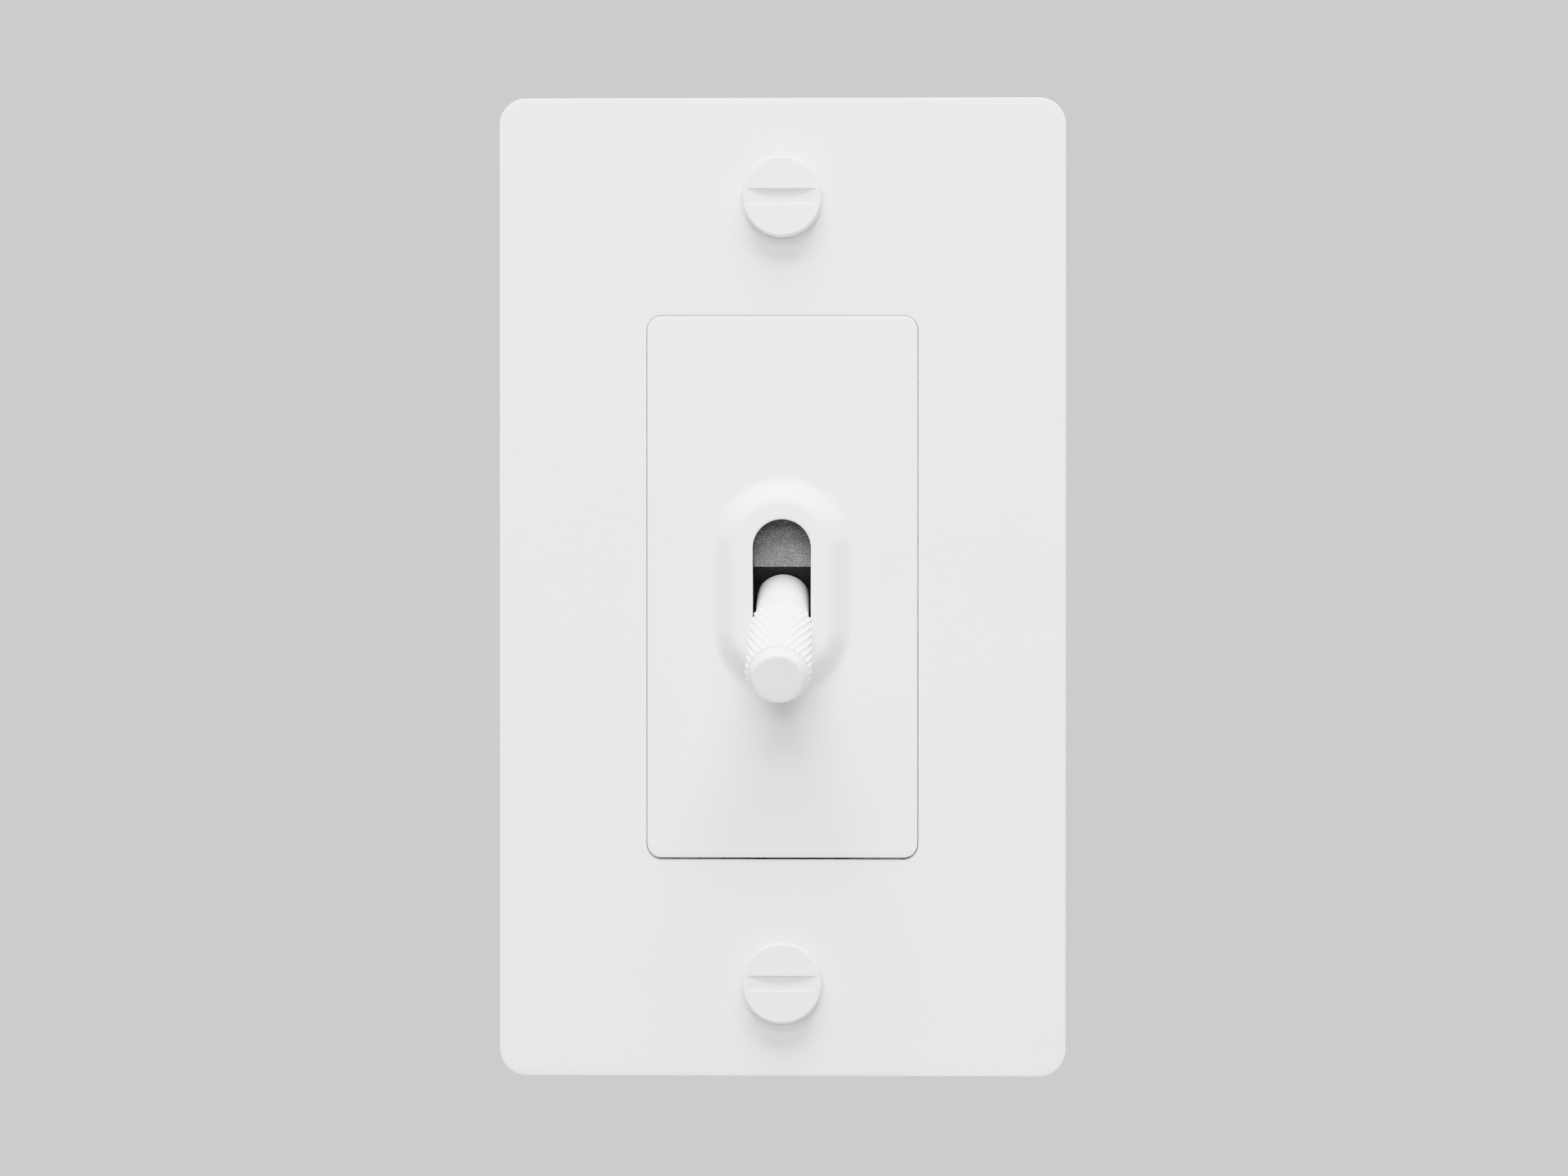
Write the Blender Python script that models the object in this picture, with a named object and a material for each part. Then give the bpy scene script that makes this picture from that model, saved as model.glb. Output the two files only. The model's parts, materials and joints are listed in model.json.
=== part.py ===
"""Toggle wall switch: cover plate, insert with a raised slot collar, knurled bat lever and snap mechanism.

Frame: +Z is up, the front faces -Y and +X is to the right as seen from the front. The origin is the
centre of the plate on the wall plane, y = 0. Sizes below are in millimetres, and every mesh is scaled
by MM to metres.
"""

import math

import bmesh
import bpy

MM = 0.001
GAP = 0.3  # between pieces that touch on the real object
THIN_GAP = 0.1  # the same, where the joint shows

# Cover plate
PLATE_WIDTH = 69.5
PLATE_HEIGHT = 120.0
PLATE_THICKNESS = 4.0
PLATE_CORNER = 3.3
PLATE_EDGE = 0.4
PLATE_SKIN = 1.2
PLATE_RIM = 3.0
PLATE_SCREW_TOP = 47.85  # the plate sits a little high on its screws
PLATE_SCREW_BOTTOM = -48.45
PLATE_HOLE_RADIUS = 2.1
COIN_HEAD_RADIUS = 4.95
COIN_FACE_RADIUS = 4.65
COIN_HEAD_HEIGHT = 2.5
COIN_SLOT_WIDTH = 1.85
COIN_SLOT_LENGTH = 8.6
COIN_SLOT_DEPTH = 0.75
COIN_SHANK_RADIUS = 1.7
COIN_SHANK_END = 2.4
OPENING_WIDTH = 33.4
OPENING_HEIGHT = 66.8
OPENING_CORNER = 1.9

# Insert and its collar
INSERT_WIDTH = 33.1
INSERT_HEIGHT = 66.4
INSERT_CORNER = 1.7
INSERT_LIFT = 0.08  # it sits high in the opening
INSERT_PROUD = 0.3  # in front of the plate
INSERT_SKIN = 1.4
INSERT_WALL = 1.2
INSERT_EDGE = 0.2
INSERT_SCREW_Z = 29.0
BOSS_RADIUS = 2.6
BOSS_HOLE_RADIUS = 1.4
BOSS_HOLE_DEPTH = 0.6  # into the skin, in front of its back face
SLOT_WIDTH = 7.14
SLOT_HEIGHT = 16.75
COLLAR_SPREAD = 5.3  # from the slot's edge to the collar's foot
COLLAR_RIM = 1.4
COLLAR_RISE = 2.3
COLLAR_LIP = 0.03
SLOT_EDGE = 0.8  # depth of the white edge in front of the liner
LINER_WALL = 0.65
LINER_FLANGE = 2.2

# Lever, rocker and plunger, measured along the lever from the pivot
PIVOT_Y = 3.7
LEVER_TILT = math.radians(23.2)
PIN_RADIUS = 0.9
PIN_HALF = 8.8
FACET_FRONT = 3.55
FACET_HALF = 4.28
WING_SWEEP = math.radians(45.0)
WING_LENGTH = 8.5
WING_THICKNESS = 1.6
ROCKER_HALF = 6.0
ROCKER_BACK = 2.2
STEM_RADIUS = 4.1
STEM_BACK = 9.5
STEM_BORE = 2.9
STEM_BORE_FRONT = 2.7
STUD_RADIUS = 1.7
STUD_BALL = 2.4
STUD_END = 13.3
NECK_RADIUS = 3.3
NECK_START = FACET_FRONT + THIN_GAP
GRIP_START = 12.9
GRIP_SHOULDER = 0.3
GRIP_RADIUS = 4.0
GRIP_END = 26.05
TIP_RING_RADIUS = 3.5
TIP_FACE_RADIUS = 3.05
TIP_END = 27.45
BAT_BORE_END = 14.0
PLUNGER_RADIUS = 2.6
PLUNGER_FRONT = 6.5
PLUNGER_SHOULDER = 10.2
PLUNGER_NOSE = 1.5
PLUNGER_PIP = 1.2  # radius and length of the pip that centres the spring
PLUNGER_END = 12.6
SPRING_TURNS = 4
SPRING_RADIUS = 2.0
SPRING_WIRE = 0.3
SPRING_FRONT = 3.1
SPRING_BACK = 5.9

# Contact arm
ARM_Y = 17.5
ARM_BEND = math.radians(20.0)
ARM_TILT = math.radians(8.4)
ARM_LENGTH = 13.5
ARM_THICKNESS = 1.0
ARM_HALF = 2.5
ARM_TRUNNION_RADIUS = 0.5
ARM_TRUNNION_HALF = 4.4
CONTACT_AT = 12.0
CONTACT_RADIUS = 1.8
CONTACT_THICKNESS = 1.0

# Mounting strap
YOKE_THICKNESS = 1.5
YOKE_HEIGHT = 106.0
YOKE_BODY = (35.0, 69.6)  # it closes the gap round the insert from behind
YOKE_CORNER = 1.5
TONGUE_WIDTH = 19.0
EAR_WIDTH = 25.0
EAR_HEIGHT = 7.6
DEVICE_SLOT = (7.0, 4.3)
TAPPED_RADIUS = 2.0
FIXING_RADIUS = 1.4
DEVICE_SCREW_Z = 41.65
ASSEMBLY_X = 11.6
ASSEMBLY_Z = 20.5
ASSEMBLY_HOLE_RADIUS = 1.5
EARTH_TAB_X = 12.4
EARTH_TAB_Z = -29.7
EARTH_TAB_THICKNESS = 1.2
EARTH_TAB_HALF = 3.8
EARTH_TAB_END = 9.6
EARTH_SCREW_Y = 5.5
RETAINER = (8.4, 7.4)
RETAINER_THICKNESS = 0.7

# Moulded housing
HOUSING_WIDTH = 29.0
HOUSING_HEIGHT = 48.0
HOUSING_CORNER = 2.5
HOUSING_SPLIT = 6.0
HOUSING_BACK = 22.0
HOUSING_FLOOR = 2.0
CAVITY_HALF_X = 10.6
CAVITY_HALF_Z = 17.3
RECESS_X = 12.0
CHEEK_X = 6.5
CHEEK_THICKNESS = 2.2
CHEEK = (7.0, 9.0)
CHEEK_MIDDLE_Y = 5.3
NUT_POCKET = (14.0, 3.6)
RECESS_FRONT = 7.6
RECESS_MARGIN = 0.7
WIRE_SCREW_BORE = 2.2
WINDOW_HALF_X = 6.4
WINDOW_HALF_Z = 11.3

# Terminals
TERMINAL_X = RECESS_X + GAP
TERMINAL_THICKNESS = 1.0
TERMINAL_FRONT = 8.2
STRIP_Y = 18.5
STRIP_END = 2.4
TERMINAL_SCREW_Y = 13.0
TERMINAL_HALF = 4.4
WIRE_SCREW_RADIUS = 1.6
CLAMP_SIZE = 7.4
CLAMP_THICKNESS = 0.9
CHEEK_HALF_Z = 1.8
CHEEK_ABOVE_ARM = 1.4
TRAVELLER_Z = 12.4
CHEEK_INNER = 3.0
CHEEK_OUTER = 4.1

CORNER_STEPS = 6
ROUND_STEPS = 36
DISC_STEPS = 96
SCREW_STEPS = 14
EASE_STEPS = 2
COLLAR_STEPS = 7
SMOOTH_ANGLE = math.radians(32.0)

# name: colour, roughness, metallic
FINISHES = {
    "powder_coat": ((0.80, 0.80, 0.79, 1.0), 0.55, 0.0),
    "black_nylon": ((0.012, 0.012, 0.013, 1.0), 0.5, 0.0),
    "housing_resin": ((0.055, 0.055, 0.06, 1.0), 0.45, 0.0),
    "brass": ((0.72, 0.50, 0.20, 1.0), 0.3, 1.0),
    "steel": ((0.55, 0.56, 0.57, 1.0), 0.32, 1.0),
    "silver_alloy": ((0.80, 0.79, 0.76, 1.0), 0.25, 1.0),
    "green_steel": ((0.05, 0.26, 0.10, 1.0), 0.35, 0.6),
    "retainer_card": ((0.55, 0.44, 0.30, 1.0), 0.8, 0.0),
}


def finish(name):
    """The material of that name, made the first time it is asked for."""
    if name in bpy.data.materials:
        return bpy.data.materials[name]
    colour, roughness, metallic = FINISHES[name]
    material = bpy.data.materials.new(name)
    material.use_nodes = True
    shader = material.node_tree.nodes["Principled BSDF"]
    shader.inputs["Base Color"].default_value = colour
    shader.inputs["Roughness"].default_value = roughness
    shader.inputs["Metallic"].default_value = metallic
    return material


def new_object(name, shape, material, parent=None):
    """An object made from a bmesh in millimetres."""
    bmesh.ops.recalc_face_normals(shape, faces=shape.faces)
    bmesh.ops.scale(shape, vec=(MM, MM, MM), verts=shape.verts)
    mesh = bpy.data.meshes.new(name)
    shape.to_mesh(mesh)
    shape.free()
    mesh.materials.append(finish(material))
    mesh.shade_smooth()
    mesh.set_sharp_from_angle(angle=SMOOTH_ANGLE)
    return linked(name, mesh, parent)


def linked(name, data, parent=None, at=(0, 0, 0), turn=(0, 0, 0)):
    """A scene object that shows the data at a place given in millimetres."""
    thing = bpy.data.objects.new(name, data)
    bpy.context.scene.collection.objects.link(thing)
    thing.parent = parent
    thing.location = [value * MM for value in at]
    thing.rotation_euler = turn
    return thing


def combine(body, operation, *shapes):
    """Adds one Boolean to the body for each shape; the tools stay hidden guides beside it."""
    for shape in shapes:
        name = f"{body.name}_{operation.lower()}_{len(body.modifiers)}"
        tool = new_object(name, shape, body.data.materials[0].name, body.parent)
        tool.location = body.location
        tool.rotation_euler = body.rotation_euler
        tool.hide_render = True
        tool.display_type = "WIRE"
        modifier = body.modifiers.new(name, "BOOLEAN")
        modifier.operation = operation
        modifier.object = tool


def cut(body, *shapes):
    combine(body, "DIFFERENCE", *shapes)


def add(body, *shapes):
    combine(body, "UNION", *shapes)


# Outlines and solids, all in millimetres


def rounded(width, height, radius, centre=(0, 0)):
    """The outline of a rectangle with round corners."""
    points = []
    for corner in range(4):
        side_x = 1 if corner in (0, 3) else -1
        side_z = 1 if corner in (0, 1) else -1
        for step in range(CORNER_STEPS + 1):
            angle = math.pi / 2 * (corner + step / CORNER_STEPS)
            x = centre[0] + side_x * (width / 2 - radius) + radius * math.cos(angle)
            z = centre[1] + side_z * (height / 2 - radius) + radius * math.sin(angle)
            points.append((x, z))
    return points


def stadium(width, height, centre=(0, 0)):
    """A slot outline: its ends are half circles, cut a hair short so that no two points meet."""
    return rounded(width, height, min(width, height) / 2 - 0.001, centre)


def box_outline(low, high):
    return [(low[0], low[1]), (high[0], low[1]), (high[0], high[1]), (low[0], high[1])]


def circle(radius, centre=(0, 0), steps=ROUND_STEPS):
    angles = [math.tau * step / steps for step in range(steps)]
    return [(centre[0] + radius * math.cos(a), centre[1] + radius * math.sin(a)) for a in angles]


def loft(rings):
    """A closed solid through rings of as many points each, capped at both ends."""
    shape = bmesh.new()
    loops = [[shape.verts.new(point) for point in ring] for ring in rings]
    count = len(loops[0])
    for near, far in zip(loops, loops[1:]):
        for i in range(count):
            j = (i + 1) % count
            shape.faces.new((near[i], near[j], far[j], far[i]))
    shape.faces.new(loops[0])
    shape.faces.new(loops[-1])
    return shape


def prism(outline, axis, low, high):
    """The outline pushed along an axis; its two coordinates are the other two axes, in order."""

    def ring(along):
        if axis == "X":
            return [(along, a, b) for a, b in outline]
        if axis == "Y":
            return [(a, along, b) for a, b in outline]
        return [(a, b, along) for a, b in outline]

    return loft([ring(low), ring(high)])


def box(low, high):
    return prism(box_outline(low[:2], high[:2]), "Z", low[2], high[2])


def turned(profile, steps=ROUND_STEPS):
    """A solid of revolution about Y through (y, radius) pairs."""
    return loft([[(x, y, z) for x, z in circle(radius, steps=steps)] for y, radius in profile])


def arc(centre_y, radius, start, end, steps=6):
    """(y, radius) pairs on a circle about the Y axis's point centre_y; angles count from -Y."""
    angles = [math.radians(start + (end - start) * step / steps) for step in range(steps + 1)]
    return [(centre_y - radius * math.cos(a), radius * math.sin(a)) for a in angles]


def eased_block(width, height, radius, front, back, ease, centre=(0, 0)):
    """A rounded block whose front edge is a small quarter round."""
    outline = rounded(width, height, radius, centre)
    rings = [[(x, back, z) for x, z in outline]]
    for step in range(EASE_STEPS + 1):
        angle = math.pi / 2 * step / EASE_STEPS
        inset = ease * (1 - math.cos(angle))
        y = front + ease * (1 - math.sin(angle))
        outline = rounded(width - 2 * inset, height - 2 * inset, radius - inset, centre)
        rings.append([(x, y, z) for x, z in outline])
    return loft(rings)


# Screws


def screw_shape(head_radius, head_height, shank_radius, length):
    """A screw along +Y with a bevelled flat head whose underside is at y = 0."""
    edge = 0.15 * head_height
    profile = [
        (-head_height, head_radius - 2 * edge),
        (-head_height + edge, head_radius - 0.5 * edge),
        (-head_height + 2 * edge, head_radius),
        (0, head_radius),
        (0, shank_radius),
        (length - shank_radius / 2, shank_radius),
        (length, shank_radius / 2),
    ]
    return turned(profile, SCREW_STEPS)


def slotted_screw(name, material, head_radius, head_height, shank_radius, length, place, facing=0):
    """A screw with a straight slot whose head faces -Y, turned about Z by facing."""
    screw = new_object(name, screw_shape(head_radius, head_height, shank_radius, length), material)
    screw.location = [value * MM for value in place]
    screw.rotation_euler = (0, 0, facing)
    half_slot = 0.12 * head_radius + 0.15
    reach = head_radius + 1
    slot = box((-reach, -head_height - 1, -half_slot), (reach, -0.45 * head_height, half_slot))
    cut(screw, slot)
    return screw


def plate_screw(name, height):
    """A coin screw: a tall round head with a slot whose floor is the arc of the disc that cut it."""
    under = -PLATE_THICKNESS - THIN_GAP
    front = under - COIN_HEAD_HEIGHT
    profile = [
        (front, COIN_FACE_RADIUS),
        (front + 0.1, COIN_HEAD_RADIUS - 0.1),
        (front + 0.3, COIN_HEAD_RADIUS),
        (under - 0.15, COIN_HEAD_RADIUS),
        (under, COIN_HEAD_RADIUS - 0.15),
        (under, COIN_SHANK_RADIUS),
        (COIN_SHANK_END - 0.6, COIN_SHANK_RADIUS),
        (COIN_SHANK_END, COIN_SHANK_RADIUS - 0.5),
    ]
    screw = new_object(name, turned(profile), "powder_coat")
    screw.location = (0, 0, height * MM)
    half_length = COIN_SLOT_LENGTH / 2
    disc_radius = (half_length**2 + COIN_SLOT_DEPTH**2) / (2 * COIN_SLOT_DEPTH)
    disc = circle(disc_radius, (0, front + COIN_SLOT_DEPTH - disc_radius), DISC_STEPS)
    cut(screw, prism(disc, "Z", -COIN_SLOT_WIDTH / 2, COIN_SLOT_WIDTH / 2))


# Front


def wall_plate():
    front = -PLATE_THICKNESS
    block = eased_block(PLATE_WIDTH, PLATE_HEIGHT, PLATE_CORNER, front, 0, PLATE_EDGE)
    plate = new_object("wall_plate", block, "powder_coat")
    inner_width = PLATE_WIDTH - 2 * PLATE_RIM
    inner_height = PLATE_HEIGHT - 2 * PLATE_RIM
    pocket = rounded(inner_width, inner_height, PLATE_CORNER)
    opening = rounded(OPENING_WIDTH, OPENING_HEIGHT, OPENING_CORNER)
    cut(plate, prism(pocket, "Y", front + PLATE_SKIN, 1), prism(opening, "Y", front - 1, 1))
    for height in (PLATE_SCREW_TOP, PLATE_SCREW_BOTTOM):
        hole = circle(PLATE_HOLE_RADIUS, (0, height), SCREW_STEPS)
        cut(plate, prism(hole, "Y", front - 1, 1))


def collar_shape(front):
    """The raised ring round the slot: its side sweeps up from the insert and rounds over into the rim."""
    rings = []
    for step in range(-1, COLLAR_STEPS + 1):
        share = max(0, step) / COLLAR_STEPS
        offset = COLLAR_SPREAD + (COLLAR_RIM - COLLAR_SPREAD) * share
        rise = COLLAR_LIP + (COLLAR_RISE - COLLAR_LIP) * share * share * (3 - 2 * share)
        y = front + INSERT_SKIN / 2 if step < 0 else front - rise
        outline = stadium(SLOT_WIDTH + 2 * offset, SLOT_HEIGHT + 2 * offset)
        rings.append([(x, y, z) for x, z in outline])
    return loft(rings)


def insert_face():
    front = -PLATE_THICKNESS - INSERT_PROUD
    back = -YOKE_THICKNESS - GAP
    floor = front + INSERT_SKIN
    centre = (0, INSERT_LIFT)
    block = eased_block(INSERT_WIDTH, INSERT_HEIGHT, INSERT_CORNER, front, back, INSERT_EDGE, centre)
    insert = new_object("insert_face", block, "powder_coat")
    add(insert, collar_shape(front))
    inner = rounded(INSERT_WIDTH - 2 * INSERT_WALL, INSERT_HEIGHT - 2 * INSERT_WALL, 1, centre)
    cut(insert, prism(inner, "Y", floor, 1))
    for height in (INSERT_SCREW_Z, -INSERT_SCREW_Z):
        boss = circle(BOSS_RADIUS, (0, height), SCREW_STEPS)
        add(insert, prism(boss, "Y", floor - BOSS_HOLE_DEPTH / 2, back))
        hole = circle(BOSS_HOLE_RADIUS, (0, height), SCREW_STEPS)
        cut(insert, prism(hole, "Y", floor - BOSS_HOLE_DEPTH, 1))
    rim = front - COLLAR_RISE
    cut(insert, prism(stadium(SLOT_WIDTH, SLOT_HEIGHT), "Y", rim - 1, 1))
    growth = 2 * (LINER_WALL + GAP)
    socket = stadium(SLOT_WIDTH + growth, SLOT_HEIGHT + growth)
    cut(insert, prism(socket, "Y", rim + SLOT_EDGE, 1))


def slot_liner():
    """The dark tube behind the slot's edge, with a flange that traps it under the insert."""
    front = -PLATE_THICKNESS - INSERT_PROUD - COLLAR_RISE + SLOT_EDGE + THIN_GAP
    flange_front = -PLATE_THICKNESS - INSERT_PROUD + INSERT_SKIN + GAP
    back = -YOKE_THICKNESS - GAP
    width = SLOT_WIDTH + 2 * LINER_WALL
    height = SLOT_HEIGHT + 2 * LINER_WALL
    tube = prism(stadium(width, height), "Y", front, flange_front + GAP)
    liner = new_object("slot_liner", tube, "black_nylon")
    flange = stadium(width + 2 * LINER_FLANGE, height + 2 * LINER_FLANGE)
    add(liner, prism(flange, "Y", flange_front, back))
    cut(liner, prism(stadium(SLOT_WIDTH, SLOT_HEIGHT), "Y", front - 1, 1))


# Moving group. Its own frame has the pivot at the origin and the lever along -Y.


def lever_axis():
    return linked("toggle_axis", None, at=(0, PIVOT_Y, 0), turn=(LEVER_TILT, 0, 0))


def toggle_bat(axis):
    profile = [
        (-NECK_START, NECK_RADIUS),
        (-GRIP_START, NECK_RADIUS),
        (-GRIP_START - GRIP_SHOULDER, GRIP_RADIUS),
        (-GRIP_END + 0.25, GRIP_RADIUS),
        (-GRIP_END, GRIP_RADIUS - 0.25),
        (-GRIP_END - 0.15, TIP_RING_RADIUS),
        (-TIP_END + 0.05, TIP_FACE_RADIUS + 0.05),
        (-TIP_END, TIP_FACE_RADIUS),
    ]
    bat = new_object("toggle_bat", turned(profile), "powder_coat", axis)
    cut(bat, prism(circle(STUD_RADIUS + GAP, steps=SCREW_STEPS), "Y", -BAT_BORE_END, 0))


def bat_stud(axis):
    """A steel rod that ends in a ball with a cross hole for the pivot pin."""
    joint = 180 - math.degrees(math.asin(STUD_RADIUS / STUD_BALL))
    ball = [(-y, radius) for y, radius in arc(0, STUD_BALL, 12, joint, 10)]
    rod = [(-STUD_END + 0.5, STUD_RADIUS), (-STUD_END, STUD_RADIUS - 0.5)]
    stud = new_object("bat_stud", turned(ball + rod, SCREW_STEPS), "steel", axis)
    cut(stud, prism(circle(PIN_RADIUS + GAP, steps=SCREW_STEPS), "X", -5, 5))


def rocker_outline():
    """The rocker seen along its pin: a front facet, swept wings and a block round the pin."""
    along = (math.sin(WING_SWEEP), math.cos(WING_SWEEP))
    tip = (FACET_FRONT - WING_LENGTH * along[0], FACET_HALF + WING_LENGTH * along[1])
    inset = (-WING_THICKNESS * along[1], -WING_THICKNESS * along[0])
    tip_back = (tip[0] + inset[0], tip[1] + inset[1])
    root = (FACET_FRONT + inset[0], FACET_HALF + inset[1])
    reach = (STEM_RADIUS + GAP - root[1]) / along[1]
    notch = (root[0] - reach * along[0], STEM_RADIUS + GAP)
    upper = [(-ROCKER_BACK, notch[1]), notch, tip_back, tip, (FACET_FRONT, FACET_HALF)]
    lower = [(forward, -up) for forward, up in reversed(upper)]
    return [(-forward, up) for forward, up in upper + lower]


def toggle_rocker(axis):
    body = prism(rocker_outline(), "X", -ROCKER_HALF, ROCKER_HALF)
    rocker = new_object("toggle_rocker", body, "black_nylon", axis)
    add(rocker, prism(circle(STEM_RADIUS), "Y", ROCKER_BACK - 1, STEM_BACK))
    cut(rocker, prism(circle(STEM_BORE, steps=SCREW_STEPS), "Y", -STEM_BORE_FRONT, STEM_BACK + 1))
    cut(rocker, prism(circle(STUD_RADIUS + GAP, steps=SCREW_STEPS), "Y", -FACET_FRONT - 1, 0))
    cut(rocker, prism(circle(PIN_RADIUS + GAP, steps=SCREW_STEPS), "X", -9, 9))


def pivot_pin(axis):
    pin = prism(circle(PIN_RADIUS, steps=SCREW_STEPS), "X", -PIN_HALF, PIN_HALF)
    new_object("pivot_pin", pin, "steel", axis)


def plunger(axis):
    nose = arc(-(PLUNGER_END - PLUNGER_NOSE), PLUNGER_NOSE, 80, 12, 6)
    profile = [(PLUNGER_FRONT - PLUNGER_PIP, PLUNGER_PIP), (PLUNGER_FRONT, PLUNGER_PIP)]
    profile += [(PLUNGER_FRONT, PLUNGER_RADIUS)]
    profile += [(PLUNGER_SHOULDER - 0.3, PLUNGER_RADIUS), (PLUNGER_SHOULDER, PLUNGER_RADIUS - 0.3)]
    profile += [(-y, radius) for y, radius in nose]
    new_object("plunger", turned(profile, SCREW_STEPS), "brass", axis)


def plunger_spring(axis):
    """A short coil between the stud's ball and the plunger."""
    curve = bpy.data.curves.new("plunger_spring", "CURVE")
    curve.dimensions = "3D"
    curve.bevel_depth = SPRING_WIRE * MM
    curve.bevel_resolution = 1
    curve.use_fill_caps = True
    curve.materials.append(finish("steel"))
    count = SPRING_TURNS * 12
    spline = curve.splines.new("POLY")
    spline.points.add(count)
    for step, point in enumerate(spline.points):
        angle = math.tau * SPRING_TURNS * step / count
        y = SPRING_FRONT + (SPRING_BACK - SPRING_FRONT) * step / count
        x, z = SPRING_RADIUS * math.cos(angle), SPRING_RADIUS * math.sin(angle)
        point.co = (x * MM, y * MM, z * MM, 1)
    linked("plunger_spring", curve, axis)


# Contacts. The arm's own frame has its trunnions at the origin and its apex towards -Y.


def arm_axis():
    return linked("arm_axis", None, at=(0, ARM_Y, 0), turn=(-ARM_TILT, 0, 0))


def arm_point(along, depth):
    """A point on the arm's upper half: along it from the apex, and that deep behind its front face."""
    y = -ARM_THICKNESS / 2 - along * math.sin(ARM_BEND) + depth * math.cos(ARM_BEND)
    return y, along * math.cos(ARM_BEND) + depth * math.sin(ARM_BEND)


def contact_arm(axis):
    end_front = arm_point(ARM_LENGTH, 0)
    end_back = arm_point(ARM_LENGTH, ARM_THICKNESS)
    apex_back = ARM_THICKNESS / math.cos(ARM_BEND) - ARM_THICKNESS / 2
    outline = [(-ARM_THICKNESS / 2, 0), end_front, end_back, (apex_back, 0)]
    outline += [(end_back[0], -end_back[1]), (end_front[0], -end_front[1])]
    arm = new_object("contact_arm", prism(outline, "X", -ARM_HALF, ARM_HALF), "brass", axis)
    trunnion = circle(ARM_TRUNNION_RADIUS, steps=16)
    add(arm, prism(trunnion, "X", -ARM_TRUNNION_HALF, ARM_TRUNNION_HALF))


def moving_contact(name, axis, upper):
    """A button on the back of the arm, near one of its ends."""
    side = 1 if upper else -1
    y, z = arm_point(CONTACT_AT, ARM_THICKNESS + THIN_GAP)
    disc = prism(circle(CONTACT_RADIUS, steps=SCREW_STEPS), "Y", 0, CONTACT_THICKNESS)
    button = new_object(name, disc, "silver_alloy", axis)
    button.location = (0, y * MM, side * z * MM)
    button.rotation_euler = (side * ARM_BEND, 0, 0)


def fixed_contact(name, upper):
    """A button on the traveller's strip that faces the closed arm squarely and is flat behind."""
    side = 1 if upper else -1
    y, z = arm_point(CONTACT_AT, ARM_THICKNESS + THIN_GAP + CONTACT_THICKNESS + GAP)
    turned_y = y * math.cos(ARM_TILT) + z * math.sin(ARM_TILT)
    turned_z = z * math.cos(ARM_TILT) - y * math.sin(ARM_TILT)
    lean = ARM_BEND - ARM_TILT
    disc = prism(circle(CONTACT_RADIUS, steps=SCREW_STEPS), "Y", 0, 3)
    button = new_object(name, disc, "silver_alloy")
    button.location = (0, (ARM_Y + turned_y) * MM, side * turned_z * MM)
    button.rotation_euler = (side * lean, 0, 0)
    back = prism(box_outline((-4, -6), (4, 6)), "Y", 0, 6)
    cut(button, back)
    trim = button.modifiers[-1].object
    trim.location = (0, (STRIP_Y - THIN_GAP) * MM, side * turned_z * MM)
    trim.rotation_euler = (0, 0, 0)


def terminal_outline(side):
    """A strip bent twice: a plate in the side recess, then along the housing's floor to the middle."""
    outer = TERMINAL_X + TERMINAL_THICKNESS
    strip_back = STRIP_Y + TERMINAL_THICKNESS
    points = [
        (outer, TERMINAL_FRONT),
        (outer, strip_back - 0.5),
        (outer - 0.5, strip_back),
        (-STRIP_END, strip_back),
        (-STRIP_END, STRIP_Y),
        (TERMINAL_X, STRIP_Y),
        (TERMINAL_X, TERMINAL_FRONT),
    ]
    return [(side * x, y) for x, y in points]


def terminal(name, side, height):
    """A brass terminal with the tapped hole for its wire screw."""
    low, high = height - TERMINAL_HALF, height + TERMINAL_HALF
    strip = new_object(name, prism(terminal_outline(side), "Z", low, high), "brass")
    hole = circle(WIRE_SCREW_RADIUS + GAP, (TERMINAL_SCREW_Y, height), SCREW_STEPS)
    near, far = sorted((side * (TERMINAL_X - 1), side * (TERMINAL_X + TERMINAL_THICKNESS + 1)))
    cut(strip, prism(hole, "X", near, far))
    return strip


def common_terminal():
    """The common terminal also carries the two cheeks in which the arm's trunnions rock."""
    strip = terminal("common_terminal", 1, 0)
    for side in (-1, 1):
        near, far = sorted((side * CHEEK_INNER, side * CHEEK_OUTER))
        low = (near, ARM_Y - CHEEK_ABOVE_ARM, -CHEEK_HALF_Z)
        add(strip, box(low, (far, STRIP_Y + TERMINAL_THICKNESS / 2, CHEEK_HALF_Z)))
    low = (-CHEEK_OUTER, STRIP_Y, -CHEEK_HALF_Z)
    add(strip, box(low, (0, STRIP_Y + TERMINAL_THICKNESS, CHEEK_HALF_Z)))
    cut(strip, prism(circle(ARM_TRUNNION_RADIUS + GAP, (ARM_Y, 0), 16), "X", -6, 6))


def wire_screw(label, side, height):
    """The clamp plate on the terminal and the screw that presses it on the wire."""
    facing = side * math.pi / 2
    clamp_near = TERMINAL_X + TERMINAL_THICKNESS + GAP
    clamp_far = clamp_near + CLAMP_THICKNESS
    near, far = sorted((side * clamp_near, side * clamp_far))
    outline = rounded(CLAMP_SIZE, CLAMP_SIZE, 1.0, (TERMINAL_SCREW_Y, height))
    clamp = new_object(f"terminal_clamp_{label}", prism(outline, "X", near, far), "steel")
    hole = circle(WIRE_SCREW_RADIUS + GAP, (TERMINAL_SCREW_Y, height), SCREW_STEPS)
    cut(clamp, prism(hole, "X", near - 1, far + 1))
    place = (side * (clamp_far + THIN_GAP), TERMINAL_SCREW_Y, height)
    slotted_screw(f"terminal_screw_{label}", "brass", 3.2, 1.8, WIRE_SCREW_RADIUS, 5.4, place, facing)


# Strap and its screws


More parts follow.
